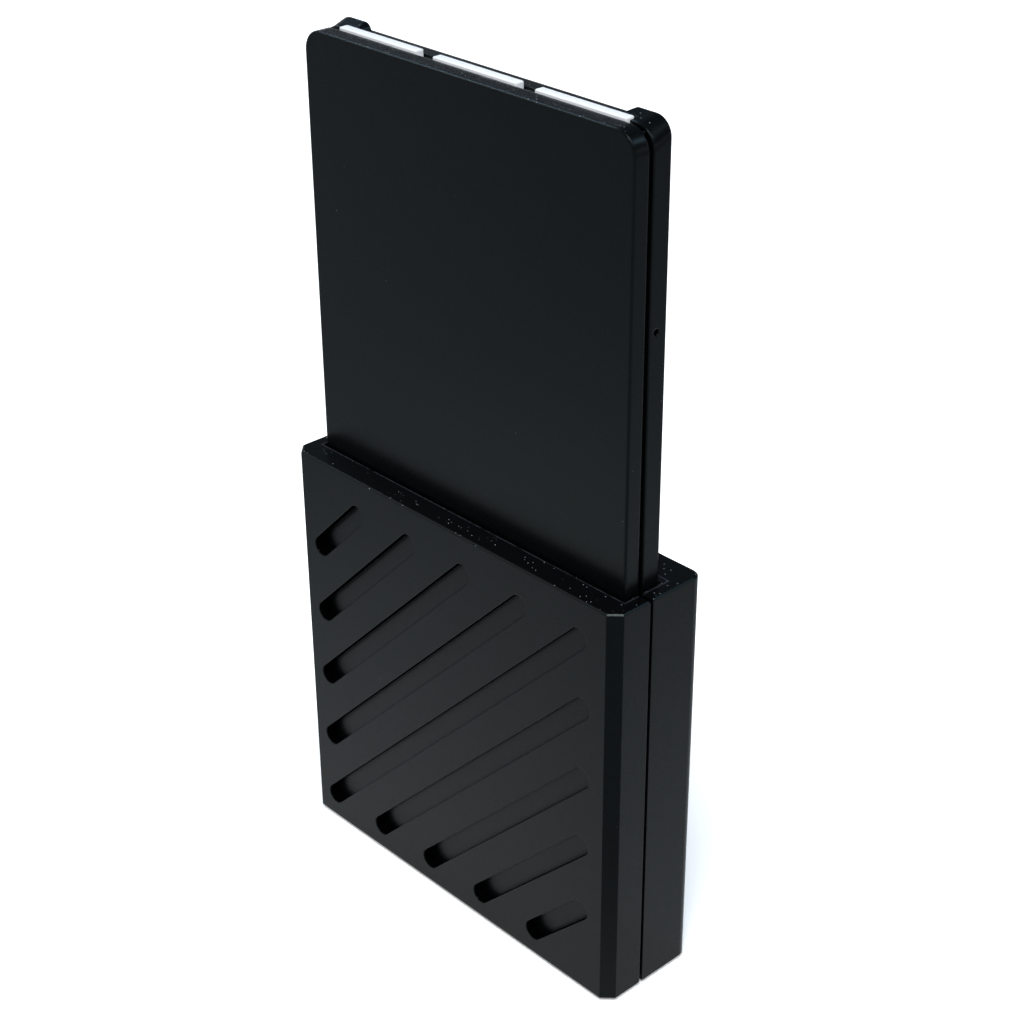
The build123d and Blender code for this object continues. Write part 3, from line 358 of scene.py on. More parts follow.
def satin_black(name, finish, softness, gloss, cover, mouth):
    """Bead-blasted black anodising with a fine grain and dust.

    Softness is the radius of the soft edges, and gloss the specular level. The milled grooves
    The milled grooves of the cover have walls painted matt black as shade, and a pale highlight is
    painted on a ring round the mouth.
    """
    paint = Paint(name)
    patches = paint.noise(16, 3)
    grain = paint.noise(0.16, 3)
    rounded = paint.node("ShaderNodeBevel", {"samples": 6}, {"Radius": softness})
    normal = paint.node("ShaderNodeNewGeometry", outlet="Normal")
    upward = paint.step(paint.part("Z", normal), 0.5, 0.9)
    # Painted highlight: a pale ring on the top faces round the mouth.
    highlight_ring = painted_highlight_ring(paint, mouth) * upward
    speck = dust_specks(paint, finish.dust + finish.dust_on_top * upward)
    base = paint.mix(patches, opaque(finish.black, 0.85), opaque(finish.black, 1.15))
    colour = paint.mix(speck, paint.mix(highlight_ring, base, opaque(finish.mouth_highlight)), DUST_GREY)
    roughness = finish.black_roughness + 0.06 * patches + 0.05 * grain + 0.3 * speck
    relief = paint.node("ShaderNodeBump", {}, {
        "Height": grain + 2 * speck, "Distance": 0.005 * MM, "Normal": rounded})
    # The walls of the grooves are painted matt black as shade.
    return paint.shade(colour, roughness, normal=relief, painted_shade=groove_wall_shade(paint, cover, normal),
                       Specular_IOR_Level=gloss, Specular_Tint=(0.85, 1.0, 0.97, 1))


def brushed(name, colour, roughness, stretch=(0.05, 1, 1)):
    """Metal with fine lines along its longest stretch."""
    paint = Paint(name)
    lines = paint.noise(0.09, 3, paint.shift(stretch=stretch))
    stains = paint.noise(7)
    shown = paint.mix(lines, opaque(colour, 0.88), opaque(colour, 1.08))
    return paint.shade(shown, roughness + 0.12 * lines + 0.08 * stains, 1.0, lines, 0.004)


def turned(name, colour, roughness, centre, pitch_mm):
    """Metal with fine rings round a centre, left by turning."""
    paint = Paint(name)
    rings = paint.bands(pitch_mm, paint.shift(centre), wave_type="RINGS", rings_direction="Y")
    stains = paint.noise(5)
    shown = paint.mix(rings, opaque(colour, 0.93), opaque(colour, 1.04))
    return paint.shade(shown, roughness + 0.06 * rings + 0.05 * stains, 1.0, rings, 0.002)


def cast(name, colour):
    """Die-cast metal with a pebbled skin."""
    paint = Paint(name)
    pebbles = paint.noise(0.45, 3)
    flow = paint.noise(9)
    shown = paint.mix(flow, opaque(colour, 0.85), opaque(colour, 1.05))
    return paint.shade(shown, 0.42 + 0.16 * pebbles, 1.0, pebbles, 0.02)


def moulded(name, colour, roughness, grain_mm=0.2, depth_mm=0.01, **constants):
    """Moulded plastic, rubber or ceramic with a fine grain."""
    paint = Paint(name)
    grain = paint.noise(grain_mm, 3)
    flow = paint.noise(6)
    shown = paint.mix(flow, opaque(colour, 0.9), opaque(colour, 1.08))
    return paint.shade(shown, roughness + 0.1 * grain, 0.0, grain, depth_mm, **constants)


def milky(name, colour):
    """Light-spreading plastic: faint clouds, and flecks of the filler that scatters light."""
    paint = Paint(name)
    clouds = paint.noise(3.5, 3)
    flecks = 1 - paint.step(paint.cells(0.35), 0.1, 0.28)
    shown = paint.mix(clouds, opaque(colour, 0.96), opaque(colour, 1.03))
    return paint.shade(paint.mix(0.35 * flecks, shown, WHITE), 0.32 + 0.1 * clouds, 0.0, flecks,
                       0.003, Subsurface_Weight=0.15, Subsurface_Radius=(1, 1, 1),
                       Subsurface_Scale=0.6 * MM, Coat_Weight=0.1)


def circuit(name, mask, gold):
    """Printed circuit: copper lines that show through the mask, and plated holes whose middles are
    painted near black as shade.
    """
    paint = Paint(name)
    across, upright = (
        paint.step(paint.bands(0.9, paint.shift(), wave_type="BANDS", bands_direction=axis),
                   0.62, 0.72) for axis in "XZ")
    block = paint.chance(5.5, distance="CHEBYCHEV")
    lines = across * paint.step(block, 0.5, 0.52) + upright * (1 - paint.step(block, 0.3, 0.32))
    holes = paint.cells(3.1)
    hole_edge = paint.step(holes, 0.04, 0.06)
    ring = (1 - paint.step(holes, 0.11, 0.13)) * hole_edge
    hole_shade = 1 - hole_edge
    shown = paint.mix(lines, opaque(mask), opaque(mask, 2.1))
    shown = paint.mix(ring, shown, opaque(gold))
    # Painted shade: the middle of each hole is near black.
    shown = paint.mix(hole_shade, shown, HOLE_SHADE)
    weave = paint.noise(0.3)
    return paint.shade(shown, 0.34 + 0.15 * weave, 0.9 * ring, lines + weave * 0.3 - hole_shade, 0.03,
                       Coat_Weight=0.2)


def wound(name, colour, centre):
    """Varnished wire wound round a centre, darker between the turns as painted shade in the
    crevices.
    """
    paint = Paint(name)
    turns = paint.bands(0.14, paint.shift(centre), wave_type="RINGS", rings_direction="Y")
    varnish = paint.noise(2.2)
    # Painted shade: the colour falls to under half between the turns.
    shown = paint.mix(turns, opaque(colour, 0.45), opaque(colour, 1.1))
    return paint.shade(shown, 0.28 + 0.15 * varnish, 0.85, turns, 0.05, Coat_Weight=0.4)


def striped(name, film, copper):
    """Ribbon film with copper tracks."""
    paint = Paint(name)
    lanes = paint.bands(0.6, paint.shift(), wave_type="BANDS", bands_direction="X")
    tracks = paint.step(lanes, 0.4, 0.55)
    haze = paint.noise(1.2)
    shown = paint.mix(tracks, opaque(film), opaque(copper))
    return paint.shade(shown, 0.3 + 0.12 * haze, 0.5 * tracks, tracks, 0.02)


def mirror(name, colour):
    """Polished disc: close to a mirror, with the faintest of haze."""
    paint = Paint(name)
    haze = paint.noise(8)
    shown = paint.mix(haze, opaque(colour, 0.97), opaque(colour, 1.02))
    return paint.shade(shown, 0.03 + 0.04 * haze, 1.0)


# Meshes


def finished(name, shape, material, body, slot, *nodes):
    """Turn a shape into a piece that rides on a body and stands for these nodes."""
    weld, crease = 1e-7, radians(35)
    bmesh.ops.remove_doubles(shape, verts=shape.verts, dist=weld)
    bmesh.ops.recalc_face_normals(shape, faces=shape.faces)
    mesh = bpy.data.meshes.new(name)
    shape.to_mesh(mesh)
    shape.free()
    mesh.shade_smooth()
    mesh.set_sharp_from_angle(angle=crease)
    mesh.materials.append(material)
    piece = bpy.data.objects.new(name, mesh)
    bpy.context.scene.collection.objects.link(piece)
    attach(piece, body)
    if nodes:
        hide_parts(*nodes)
    return piece


def solids_of(node):
    """The box of each separate solid of a node, ordered by lowest x, then z, then y."""
    weld = 1e-6
    shape = bmesh.new()
    shape.from_mesh(frame["nodes"][node].data)
    bmesh.ops.remove_doubles(shape, verts=shape.verts, dist=weld)
    waiting, boxes = set(shape.verts), []
    while waiting:
        front, island = [waiting.pop()], []
        while front:
            vert = front.pop()
            island.append(vert.co.copy())
            for edge in vert.link_edges:
                other = edge.other_vert(vert)
                if other in waiting:
                    waiting.discard(other)
                    front.append(other)
        low = Vector(min(point[axis] for point in island) for axis in range(3))
        high = Vector(max(point[axis] for point in island) for axis in range(3))
        boxes.append((low, high))
    shape.free()
    return sorted(boxes, key=lambda box: tuple(round(part, 5) for part in box[0].xzy))


def box_place(low, high):
    """The placement that turns a unit cube into the block between two corners."""
    return Matrix.Translation((low + high) / 2) @ Matrix.Diagonal((*(high - low), 1))


def add_block(shape, low, high, rounding, segments=3):
    """Add a block between two corners, with rounded edges."""
    made = bmesh.ops.create_cube(shape, size=1, matrix=box_place(Vector(low), Vector(high)))
    edges = list({edge for vert in made["verts"] for edge in vert.link_edges})
    bmesh.ops.bevel(shape, geom=edges, offset=rounding, affect="EDGES", segments=segments,
                    profile=0.5, material=-1)


def add_turned(shape, profile, place, steps=36, lobes=None):
    """Add a shape turned from (radius, height) points about Z, then put in place.

    Lobes are (radius, count, depth): the rings of that radius are pressed into so many lobes.
    """
    weld = 1e-8
    before = set(shape.verts)
    verts = [shape.verts.new((radius, 0, height)) for radius, height in profile]
    edges = [shape.edges.new(pair) for pair in zip(verts, verts[1:])]
    bmesh.ops.spin(shape, geom=verts + edges, cent=(0, 0, 0), axis=(0, 0, 1), angle=2 * pi,
                   steps=steps, use_merge=True)
    made = [vert for vert in shape.verts if vert not in before]
    bmesh.ops.remove_doubles(shape, verts=made, dist=weld)
    made = [vert for vert in shape.verts if vert not in before]
    if lobes:
        ring, count, depth = lobes
        for vert in made:
            if abs(vert.co.xy.length - ring) < 0.1 * ring:
                turn = atan2(vert.co.y, vert.co.x)
                vert.co.xy *= 1 + depth * cos(count * turn)
    bmesh.ops.transform(shape, matrix=place, verts=made)


def facing(point, direction):
    """A placement at this point whose Z looks along the direction."""
    turn = Vector(direction).to_track_quat("Z", "Y")
    return Matrix.Translation(point) @ turn.to_matrix().to_4x4()


def paint_nodes(material, *nodes):
    """Give CAD nodes this material."""
    for node in nodes:
        for slot in frame["nodes"][node].material_slots:
            slot.material = material


# Operators, one for each group of pieces


class ENCLOSURE_OT_shells(bpy.types.Operator):
    """Give the sleeve's covers and the tray's shells their satin black"""

    bl_idname = "enclosure.shells"
    bl_label = "Covers and Shells"

    def execute(self, context):
        finish, sizes = context.scene.enclosure_finish, context.scene.enclosure_sizes
        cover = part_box("front_cover")
        clearance = Vector((0.3, 0.3, 0)) * MM
        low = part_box("tray_front_shell")[0] - clearance
        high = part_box("tray_rear_shell")[1] + clearance
        low.z, high.z = cover[0].z, cover[1].z
        for name, softness, gloss, nodes in (
            ("satin_covers", sizes.cover_softness, finish.cover_gloss,
             ("front_cover", "rear_cover")),
            ("satin_shells", sizes.shell_softness, finish.shell_gloss,
             ("tray_front_shell", "tray_rear_shell")),
        ):
            black = satin_black(name, finish, softness, gloss, cover, (low, high))
            paint_nodes(black, *nodes)
        return {"FINISHED"}


class ENCLOSURE_OT_light_bars(bpy.types.Operator):
    """Build the three light bars with rounded edges and legs, and the lamps below them"""

    bl_idname = "enclosure.light_bars"
    bl_label = "Light Bars"

    def execute(self, context):
        rounding = context.scene.enclosure_sizes.bar_round
        material = milky("milky_plastic", context.scene.enclosure_finish.milky)
        for name in ("light_bar_left", "light_bar_middle", "light_bar_right"):
            finished(name + "_diffuser", self.bar(name, rounding), material, "tray",
                     "milky_plastic", name)
        resin = moulded("lamp_resin", (0.9, 0.82, 0.4), 0.15, 0.1, 0.003, Coat_Weight=0.5)
        base_share, base_round, dome_round = 0.6, 0.04 * MM, 0.08 * MM
        inset_x, inset_y = 0.15 * MM, 0.1 * MM
        shape = bmesh.new()
        for low, high in solids_of("lamps"):
            ledge = low.z + base_share * (high.z - low.z)
            add_block(shape, low, (high.x, high.y, ledge), base_round)
            add_block(shape, (low.x + inset_x, low.y + inset_y, ledge),
                      (high.x - inset_x, high.y - inset_y, high.z), dome_round)
        finished("lamp_chips", shape, resin, "tray", "lamp", "lamps")
        return {"FINISHED"}

    def bar(self, name, rounding):
        """One bar, on two legs that stand on the light board."""
        leg_width, leg_height, downward, corner_angle = 1.4 * MM, 0.7 * MM, -0.5, radians(45)
        board_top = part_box("light_board")[1].z
        low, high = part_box(name)
        bar_low = Vector((low.x, low.y, board_top + leg_height))
        shape = bmesh.new()
        bmesh.ops.create_cube(shape, size=1, matrix=box_place(bar_low, high))
        for cut in (low.x + leg_width, high.x - leg_width):
            bmesh.ops.bisect_plane(shape, geom=shape.verts[:] + shape.edges[:] + shape.faces[:],
                                   plane_co=(cut, 0, 0), plane_no=(1, 0, 0))
        between = low.x + 2 * leg_width, high.x - 2 * leg_width
        ends = [face for face in shape.faces if face.normal.z < downward
                and not between[0] < face.calc_center_median().x < between[1]]
        for end in ends:
            pulled = bmesh.ops.extrude_face_region(shape, geom=[end])["geom"]
            leg = [part for part in pulled if isinstance(part, bmesh.types.BMVert)]
            bmesh.ops.translate(shape, vec=(0, 0, board_top - bar_low.z), verts=leg)
            bmesh.ops.delete(shape, geom=[end], context="FACES_ONLY")
        bmesh.ops.recalc_face_normals(shape, faces=shape.faces)
        corners = [edge for edge in shape.edges if len(edge.link_faces) == 2
                   and edge.calc_face_angle_signed() > corner_angle]
        bmesh.ops.bevel(shape, geom=corners, offset=rounding, affect="EDGES", segments=4,
                        profile=0.5, material=-1)
        return shape


class ENCLOSURE_OT_feet(bpy.types.Operator):
    """Build the rubber feet with ribs underneath"""

    bl_idname = "enclosure.feet"
    bl_label = "Feet"

    def execute(self, context):
        sizes = context.scene.enclosure_sizes
        rib_share, rib_inset = 0.7, 0.3 * MM
        shape = bmesh.new()
        for low, high in solids_of("feet"):
            add_block(shape, (low.x, low.y, low.z + sizes.rib_depth), high, sizes.foot_round)
            pitch = (high.x - low.x) / sizes.foot_ribs
            for rib in range(sizes.foot_ribs):
                start = low.x + pitch * (rib + (1 - rib_share) / 2)
                add_block(shape, (start, low.y + rib_inset, low.z),
                          (start + rib_share * pitch, high.y - rib_inset,
                           low.z + 2 * sizes.rib_depth), sizes.rib_depth / 2, 2)
        rubber = moulded("foot_rubber", (0.012, 0.012, 0.013), 0.72, 0.35, 0.02)
        finished("foot_pads", shape, rubber, "sleeve", "black_rubber", "feet")
        paint_nodes(rubber, "drive_rail_left", "drive_rail_right")
        return {"FINISHED"}


class ENCLOSURE_OT_screws(bpy.types.Operator):
    """Build the screws with bevelled heads and lobed recesses"""

    bl_idname = "enclosure.screws"
    bl_label = "Screws"

    def execute(self, context):
        sizes = context.scene.enclosure_sizes
        dark = brushed("dark_screw_steel", (0.09, 0.09, 0.095), 0.3, (1, 1, 1))
        lobe_depth = 0.14
        for group, body, side, head_mm in (
            ("cover_screws", "sleeve", 1, 1.1), ("guide_screws", "sleeve", -1, 0.5),
            ("board_screws", "sleeve", -1, 0.4), ("shell_screws", "tray", 1, 0.5),
            ("drive_screws", "tray", -1, 0.3),
        ):
            height = head_mm * MM
            shape = bmesh.new()
            for low, high in solids_of(group):
                centre = middle((low, high))
                radius = (high.x - low.x) / 2
                recess = 0.5 * radius
                profile = self.profile(radius, recess, height, high.y - low.y - height,
                                       min(sizes.screw_bevel, height / 3))
                seat = (high.y if side > 0 else low.y) - side * height
                add_turned(shape, profile, facing((centre.x, seat, centre.z), (0, side, 0)),
                           lobes=(recess, sizes.screw_lobes, lobe_depth))
            finished(group + "_lobed", shape, dark, body, "screw_steel", group)
        return {"FINISHED"}

    def profile(self, radius, recess, height, length, bevel):
        """Points (radius, height) from the recess over the head and down the thread."""
        shank, root, tip = 0.59 * radius, 0.82, 0.55
        first, run, turns = 0.15, 0.75, 6
        floor = height - min(0.55 * height, 0.5 * MM)
        points = [(0, floor), (recess, floor), (recess, height), (radius - bevel, height),
                  (radius, height - bevel), (radius, 0), (shank, 0)]
        last = 2 * turns - 1
        for half in range(2 * turns):
            depth = -length * (first + run * half / last)
            points.append((shank * (root if half % 2 else 1), depth))
        return points + [(tip * shank, -length), (0, -length)]


class ENCLOSURE_OT_slide(bpy.types.Operator):
    """Finish the guide plate, the glide strips and the leaf spring"""

    bl_idname = "enclosure.slide"
    bl_label = "Slide"

    def execute(self, context):
        steel = context.scene.enclosure_finish.steel
        paint_nodes(brushed("guide_steel", steel, 0.3), "guide_plate")
        paint_nodes(brushed("spring_steel_strip", (0.62, 0.62, 0.64), 0.16, (1, 1, 0.05)),
                    "detent_spring")
        paint_nodes(moulded("waxy_white", (0.8, 0.8, 0.77), 0.38, 0.5, 0.004,
                            Subsurface_Weight=0.1, Subsurface_Scale=0.5 * MM),
                    "glide_strip_left", "glide_strip_right")
        return {"FINISHED"}


class ENCLOSURE_OT_board(bpy.types.Operator):
    """Finish the bridge board and build the ends and leads of its parts"""

    bl_idname = "enclosure.board"
    bl_label = "Bridge Board"

    def execute(self, context):
        finish = context.scene.enclosure_finish
        paint_nodes(circuit("green_circuit", finish.board, finish.gold), "bridge_board",
                    "light_board", "drive_board")
        paint_nodes(moulded("chip_epoxy", (0.014, 0.014, 0.016), 0.5, 0.12, 0.008),
                    "bridge_chip", "flash_chip", "inductor")
        paint_nodes(moulded("fired_ceramic", (0.42, 0.27, 0.15), 0.5, 0.25, 0.006),
                    "capacitors")
        tin = brushed("tinned_metal", (0.7, 0.7, 0.68), 0.25, (1, 1, 1))
        paint_nodes(brushed("crystal_can", (0.66, 0.66, 0.64), 0.22, (1, 1, 0.05)), "crystal")
        shape = bmesh.new()
        self.add_caps(shape)
        self.add_leads(shape)
        finished("solder_ends", shape, tin, "sleeve", "plated_steel")
        return {"FINISHED"}

    def add_caps(self, shape):
        """Tinned caps over both ends of each capacitor."""
        skin, overlap = 0.03 * MM, 0.4 * MM
        for low, high in solids_of("capacitors"):
            axis = 0 if high.x - low.x > high.z - low.z else 2
            for far_end in (False, True):
                start, stop = low.copy(), high.copy()
                if far_end:
                    start[axis] = high[axis] - overlap
                else:
                    stop[axis] = low[axis] + overlap
                start -= Vector((skin, 0, skin))
                stop += Vector((skin, skin, skin))
                add_block(shape, start, stop, 2 * skin, 2)

    def add_leads(self, shape):
        """A row of leads on each side of the bridge chip."""
        leads, pitch, half_width, height = 12, 0.5 * MM, 0.12 * MM, 0.12 * MM
        under, out, rounding = 0.3 * MM, 0.25 * MM, 0.03 * MM
        low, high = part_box("bridge_chip")
        centre = middle((low, high))
        reach = (high.x - low.x) / 2
        foot = Matrix.Translation((centre.x, low.y, centre.z))
        for side in range(4):
            place = foot @ Matrix.Rotation(side * pi / 2, 4, "Y")
            for lead in range(leads):
                along = pitch * (lead - (leads - 1) / 2)
                before = set(shape.verts)
                add_block(shape, (along - half_width, 0, reach - under),
                          (along + half_width, height, reach + out), rounding, 1)
                made = [vert for vert in shape.verts if vert not in before]
                bmesh.ops.transform(shape, matrix=place, verts=made)


class ENCLOSURE_OT_sockets(bpy.types.Operator):
    """Finish the sockets and build their contacts"""

    bl_idname = "enclosure.sockets"
    bl_label = "Sockets and Contacts"

    def execute(self, context):
        finish, sizes = context.scene.enclosure_finish, context.scene.enclosure_sizes
        gold = brushed("gold_plate", finish.gold, 0.2, (1, 1, 1))
        nylon = moulded("socket_nylon", (0.012, 0.012, 0.013), 0.48, 0.15, 0.008)
        paint_nodes(nylon, "usb_tongue", "drive_socket", "contact_block", "drive_plug")
        paint_nodes(brushed("plated_shell", (0.68, 0.68, 0.67), 0.18), "usb_shell")
        paint_nodes(gold, "contact_pads")
        finished("side_contacts", self.side_contacts(sizes.contact_pitch), gold, "sleeve",
                 "gold_contact")
        finished("sprung_pins", self.sprung_pins(), gold, "sleeve", "gold_contact",
                 "contact_pins")
        plug_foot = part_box("drive_plug")[0].z + 0.5 * MM
        socket_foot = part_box("drive_socket")[1].z - 5.2 * MM
        finished("plug_strips", self.drive_contacts(plug_foot, 3.4 * MM, 0.49 * MM), gold,
                 "tray", "gold_contact")
        finished("socket_springs", self.drive_contacts(socket_foot, 4.6 * MM, 0.58 * MM), gold,
                 "sleeve", "gold_contact")
        return {"FINISHED"}

    def side_contacts(self, pitch):
        """Two rows of contacts on the tongue of the side socket."""
        contacts, row_offset, half_thick, half_wide = 12, 0.35 * MM, 0.02 * MM, 0.13 * MM
        start, stop, rounding = 0.3 * MM, 3.8 * MM, 0.015 * MM
        tongue_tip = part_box("usb_tongue")[0].x
        centre = middle(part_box("usb_shell"))
        shape = bmesh.new()
        for row in (-1, 1):
            y = centre.y + row * row_offset
            for contact in range(contacts):
                z = centre.z + pitch * (contact - (contacts - 1) / 2)
                add_block(shape, (tongue_tip + start, y - half_thick, z - half_wide),
                          (tongue_tip + stop, y + half_thick, z + half_wide), rounding, 1)
        return shape

    def sprung_pins(self):
        """Pins of a wide barrel and a slimmer plunger with a round tip."""
        shares = ((0, 0), (1, 0), (1, 0.5), (0.92, 0.56), (0.62, 0.56), (0.62, 0.84),
                  (0.5, 0.94), (0.25, 0.99), (0, 1))
        shape = bmesh.new()
        for low, high in solids_of("contact_pins"):
            radius, height = (high.x - low.x) / 2, high.z - low.z
            centre = middle((low, high))
            profile = [(wide * radius, tall * height) for wide, tall in shares]
            add_turned(shape, profile, facing((centre.x, centre.y, low.z), (0, 0, 1)), 24)
        return shape

    def drive_contacts(self, foot, length, offset):
        """A row of strips this far behind the middle of the drive's tongue, with a key gap."""
        contacts, pitch, margin = 22, 1.27 * MM, 2.3 * MM
        key_after, key_gap = 14, 3.4 * MM
        half_wide, thick, rounding = 0.35 * MM, 0.05 * MM, 0.02 * MM
        y = (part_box("drive_cover")[0].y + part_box("drive_board")[1].y) / 2 + offset
        row_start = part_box("drive_plug")[0].x + margin
        shape = bmesh.new()
        for contact in range(contacts):
            x = row_start + pitch * contact + (key_gap if contact > key_after else 0)
            add_block(shape, (x - half_wide, y, foot), (x + half_wide, y + thick, foot + length),
                      rounding, 1)
        return shape


class ENCLOSURE_OT_tray_contents(bpy.types.Operator):
    """Finish what lies between the tray's shells"""

    bl_idname = "enclosure.tray_contents"
    bl_label = "Tray Contents"

    def execute(self, context):
        gold = context.scene.enclosure_finish.gold
        paint_nodes(striped("ribbon_tracks", (0.35, 0.16, 0.03), gold), "light_ribbon")
        paint_nodes(moulded("grey_pad", (0.3, 0.37, 0.42), 0.7, 0.6, 0.03), "thermal_pad")
        paint_nodes(moulded("black_film", (0.02, 0.02, 0.022), 0.25, 1.5, 0.01),
                    "insulating_sheet")
        return {"FINISHED"}


class ENCLOSURE_OT_drive(bpy.types.Operator):
    """Finish the drive: casting, cover, disc, hub, arm, coil and magnets"""

    bl_idname = "enclosure.drive"
    bl_label = "Drive"

    def execute(self, context):
        spindle = middle(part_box("platter"))
        pivot = Vector(next(joint["pos_m"] for joint in frame["joints"]
                            if joint["name"] == "arm_swing"))
        paint_nodes(cast("cast_casing", (0.5, 0.51, 0.52)), "drive_base")
        paint_nodes(brushed("cover_steel", (0.6, 0.61, 0.62), 0.26, (1, 1, 0.05)),
                    "drive_cover")
        paint_nodes(mirror("polished_disc", (0.8, 0.81, 0.82)), "platter")
        paint_nodes(turned("turned_hub", (0.72, 0.73, 0.74), 0.22, spindle, 0.3),
                    "spindle_hub", "disc_clamp")
        paint_nodes(turned("machined_arm", (0.7, 0.71, 0.72), 0.3, pivot, 0.5), "head_arm")
        paint_nodes(wound("coil_wire", (0.72, 0.36, 0.18), pivot), "voice_coil")
        paint_nodes(brushed("nickel_magnet", (0.55, 0.54, 0.52), 0.24, (1, 1, 1)), "magnets")
        paint_nodes(moulded("ramp_polymer", (0.78, 0.77, 0.7), 0.4, 0.3, 0.004), "head_ramp")
        return {"FINISHED"}


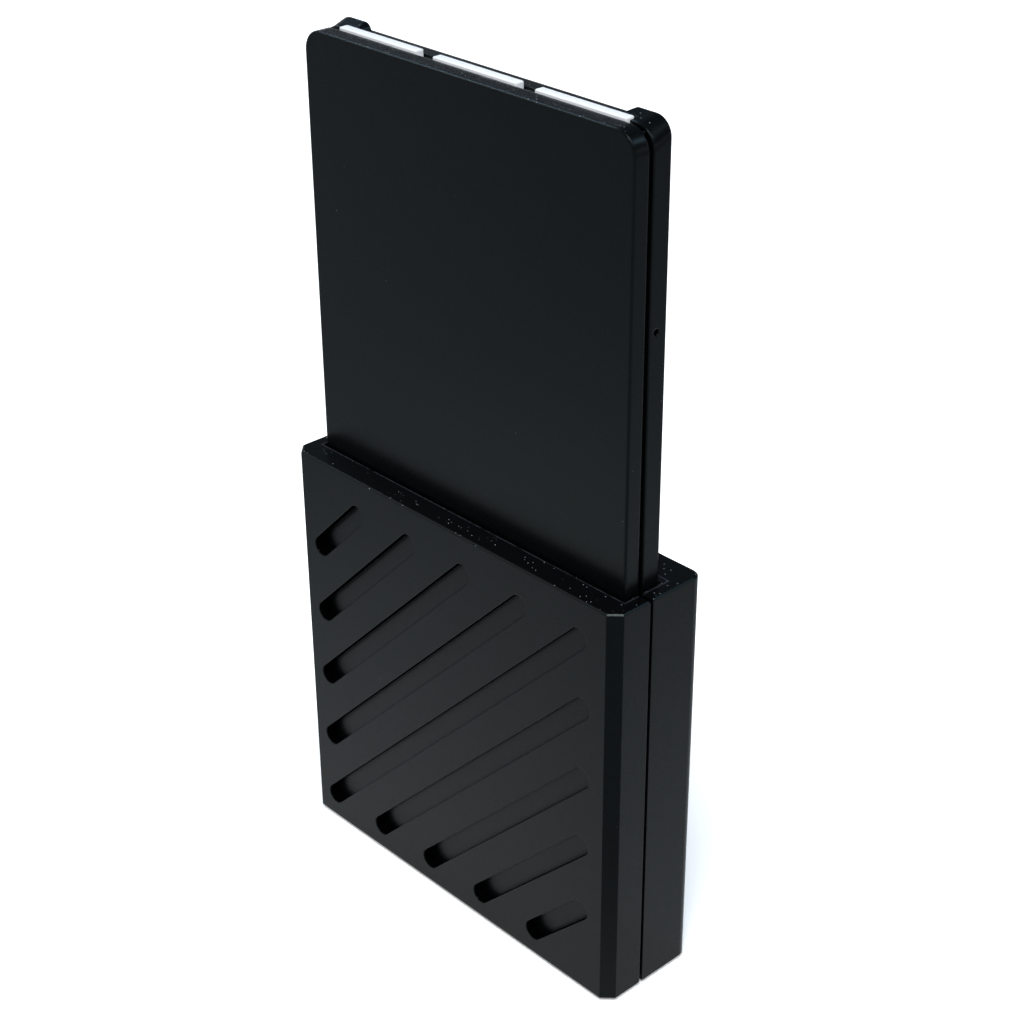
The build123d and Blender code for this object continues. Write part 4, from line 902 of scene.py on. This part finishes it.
class ENCLOSURE_OT_stage(bpy.types.Operator):
    """Set up the floor, the soft lamps and the camera"""

    bl_idname = "enclosure.stage"
    bl_label = "Stage"

    def execute(self, context):
        scene = context.scene
        studio = scene.enclosure_studio
        self.add_floor(scene, studio)
        self.add_lamps(scene)
        self.add_surroundings(scene, studio)
        self.add_camera(scene, studio)
        scene.view_settings.view_transform = "Standard"
        return {"FINISHED"}

    def add_floor(self, scene, studio):
        """A pale floor that glows a little where it is seen, so that only shadows tint it."""
        squares, half_side = 8, 6.0
        shape = bmesh.new()
        bmesh.ops.create_grid(shape, x_segments=squares, y_segments=squares, size=half_side)
        mesh = bpy.data.meshes.new("floor")
        shape.to_mesh(mesh)
        shape.free()
        mesh.materials.append(self.floor_paint(studio))
        floor = bpy.data.objects.new("floor", mesh)
        scene.collection.objects.link(floor)

    def floor_paint(self, studio):
        """Pale in a painted pool of light by the object, and greyer to mirrors beyond it.

        The painted pool is cut short towards the camera and away from it, which paints shade
        there.
        """
        paint = Paint("pale_floor")
        camera, mirrored = paint.rays()
        radius = studio.pool_radius
        reach = paint.vector("LENGTH", paint.shift(studio.pool_centre), outlet="Value")
        towards = (sin(studio.azimuth), -cos(studio.azimuth), 0)
        depth = paint.vector("DOT_PRODUCT", paint.place, towards, "Value")
        pool_end = paint.step(reach, 0.2 * radius, 2.5 * radius)
        # Painted shade: the pool ends sooner towards the camera and away from it.
        short_end = paint.step(paint.size(depth), 0.25 * radius, 0.7 * radius)
        outside = 1 - (1 - pool_end) * (1 - short_end)
        seen_glow = studio.near_glow + outside * (studio.far_glow - studio.near_glow)
        glow = camera * seen_glow + mirrored * (1 - outside) * studio.near_glow
        fibres = paint.noise(3, 3)
        pale = paint.mix(fibres, opaque(studio.floor, 0.99), opaque(studio.floor, 1.01))
        # The painted pool of light: pale inside it, the far floor's grey outside.
        shown = paint.mix(outside, pale, opaque(studio.far_floor))
        return paint.shade(shown, 0.9, Specular_IOR_Level=0.0, Emission_Strength=1.0,
                           Emission_Color=paint.mix(glow, DARK, WHITE))

    def add_lamps(self, scene):
        """Soft lamps overhead, left and right, and cool ones behind that outline the edges.

        Places and sizes are in metres, and powers in watts.
        """
        centre = middle(cad_box)
        neutral, cool = (1.0, 1.0, 1.0), (0.55, 0.8, 1.0)
        for name, place, size, power, colour in (
            ("lamp_overhead", (0.42, -0.48, 1.15), 0.35, 11.0, neutral),
            ("lamp_left", (-0.75, -0.55, 0.8), 0.9, 3.4, neutral),
            ("lamp_right", (0.75, -0.1, 0.95), 0.6, 3.7, neutral),
            ("lamp_rear_left", (-0.79, 0.13, 0.95), 0.3, 3.6, cool),
            ("lamp_rear_right", (0.58, 0.72, 0.77), 0.25, 1.0, cool),
        ):
            light = bpy.data.lights.new(name, "AREA")
            light.shape, light.size, light.energy, light.color = "DISK", size, power, colour
            lamp = bpy.data.objects.new(name, light)
            lamp.matrix_world = facing(place, Vector(place) - centre)
            scene.collection.objects.link(lamp)

    def add_surroundings(self, scene, studio):
        """Faintly cool light from all round: white to the camera, and low down to mirrors."""
        air = Paint("studio", "worlds")
        camera, mirrored = air.rays()
        band_start, band_end = sin(radians(4)), sin(radians(14))
        low = 1 - air.step(air.part("Z", air.place), band_start, band_end)
        white = camera + mirrored * low
        strength = studio.sky_strength + white * (1 - studio.sky_strength)
        scene.world = air.surround(air.mix(white, opaque(studio.sky), WHITE), strength)

    def add_camera(self, scene, studio):
        """The camera at the photograph's viewing angle."""
        sensor_mm, nearest, farthest = 36, 0.01, 20
        azimuth, elevation = studio.azimuth, studio.elevation
        back = Vector((sin(azimuth) * cos(elevation), -cos(azimuth) * cos(elevation),
                       sin(elevation)))
        right = Vector((0, 0, 1)).cross(back).normalized()
        up = back.cross(right)
        turn = Matrix((right, up, back)).transposed() @ Matrix.Rotation(studio.roll, 3, "Z")
        data = bpy.data.cameras.new("camera")
        data.lens, data.sensor_width = studio.lens, sensor_mm
        data.clip_start, data.clip_end = nearest, farthest
        camera = bpy.data.objects.new("camera", data)
        camera.matrix_world = Matrix.Translation(studio.position) @ turn.to_4x4()
        scene.collection.objects.link(camera)
        scene.camera = camera


class ENCLOSURE_PT_panel(bpy.types.Panel):
    """Lists the steps and the values that they use"""

    bl_idname = "ENCLOSURE_PT_panel"
    bl_label = "Drive Enclosure"
    bl_space_type = "VIEW_3D"
    bl_region_type = "UI"
    bl_category = "Enclosure"

    def draw(self, context):
        for step in STEPS:
            self.layout.operator(step.bl_idname)
        for group in GROUPS:
            box = self.layout.box()
            for name in GROUPS[group].__annotations__:
                box.prop(getattr(context.scene, group), name)


STEPS = (
    ENCLOSURE_OT_stage, ENCLOSURE_OT_shells, ENCLOSURE_OT_light_bars, ENCLOSURE_OT_feet,
    ENCLOSURE_OT_screws, ENCLOSURE_OT_slide, ENCLOSURE_OT_board, ENCLOSURE_OT_sockets,
    ENCLOSURE_OT_tray_contents, ENCLOSURE_OT_drive,
)
GROUPS = {
    "enclosure_finish": ENCLOSURE_PG_finish,
    "enclosure_sizes": ENCLOSURE_PG_sizes,
    "enclosure_studio": ENCLOSURE_PG_studio,
}


def register():
    """Register the value groups, the operators and the panel."""
    for group, properties in GROUPS.items():
        bpy.utils.register_class(properties)
        setattr(bpy.types.Scene, group, PointerProperty(type=properties))
    for kind in (*STEPS, ENCLOSURE_PT_panel):
        bpy.utils.register_class(kind)


def unregister():
    """Take everything out again."""
    for kind in (ENCLOSURE_PT_panel, *reversed(STEPS)):
        bpy.utils.unregister_class(kind)
    for group, properties in GROUPS.items():
        delattr(bpy.types.Scene, group)
        bpy.utils.unregister_class(properties)


def main():
    """Run every step in order."""
    register()
    bpy.ops.enclosure.stage()
    bpy.ops.enclosure.shells()
    bpy.ops.enclosure.light_bars()
    bpy.ops.enclosure.feet()
    bpy.ops.enclosure.screws()
    bpy.ops.enclosure.slide()
    bpy.ops.enclosure.board()
    bpy.ops.enclosure.sockets()
    bpy.ops.enclosure.tray_contents()
    bpy.ops.enclosure.drive()


if __name__ == "__main__":
    main()
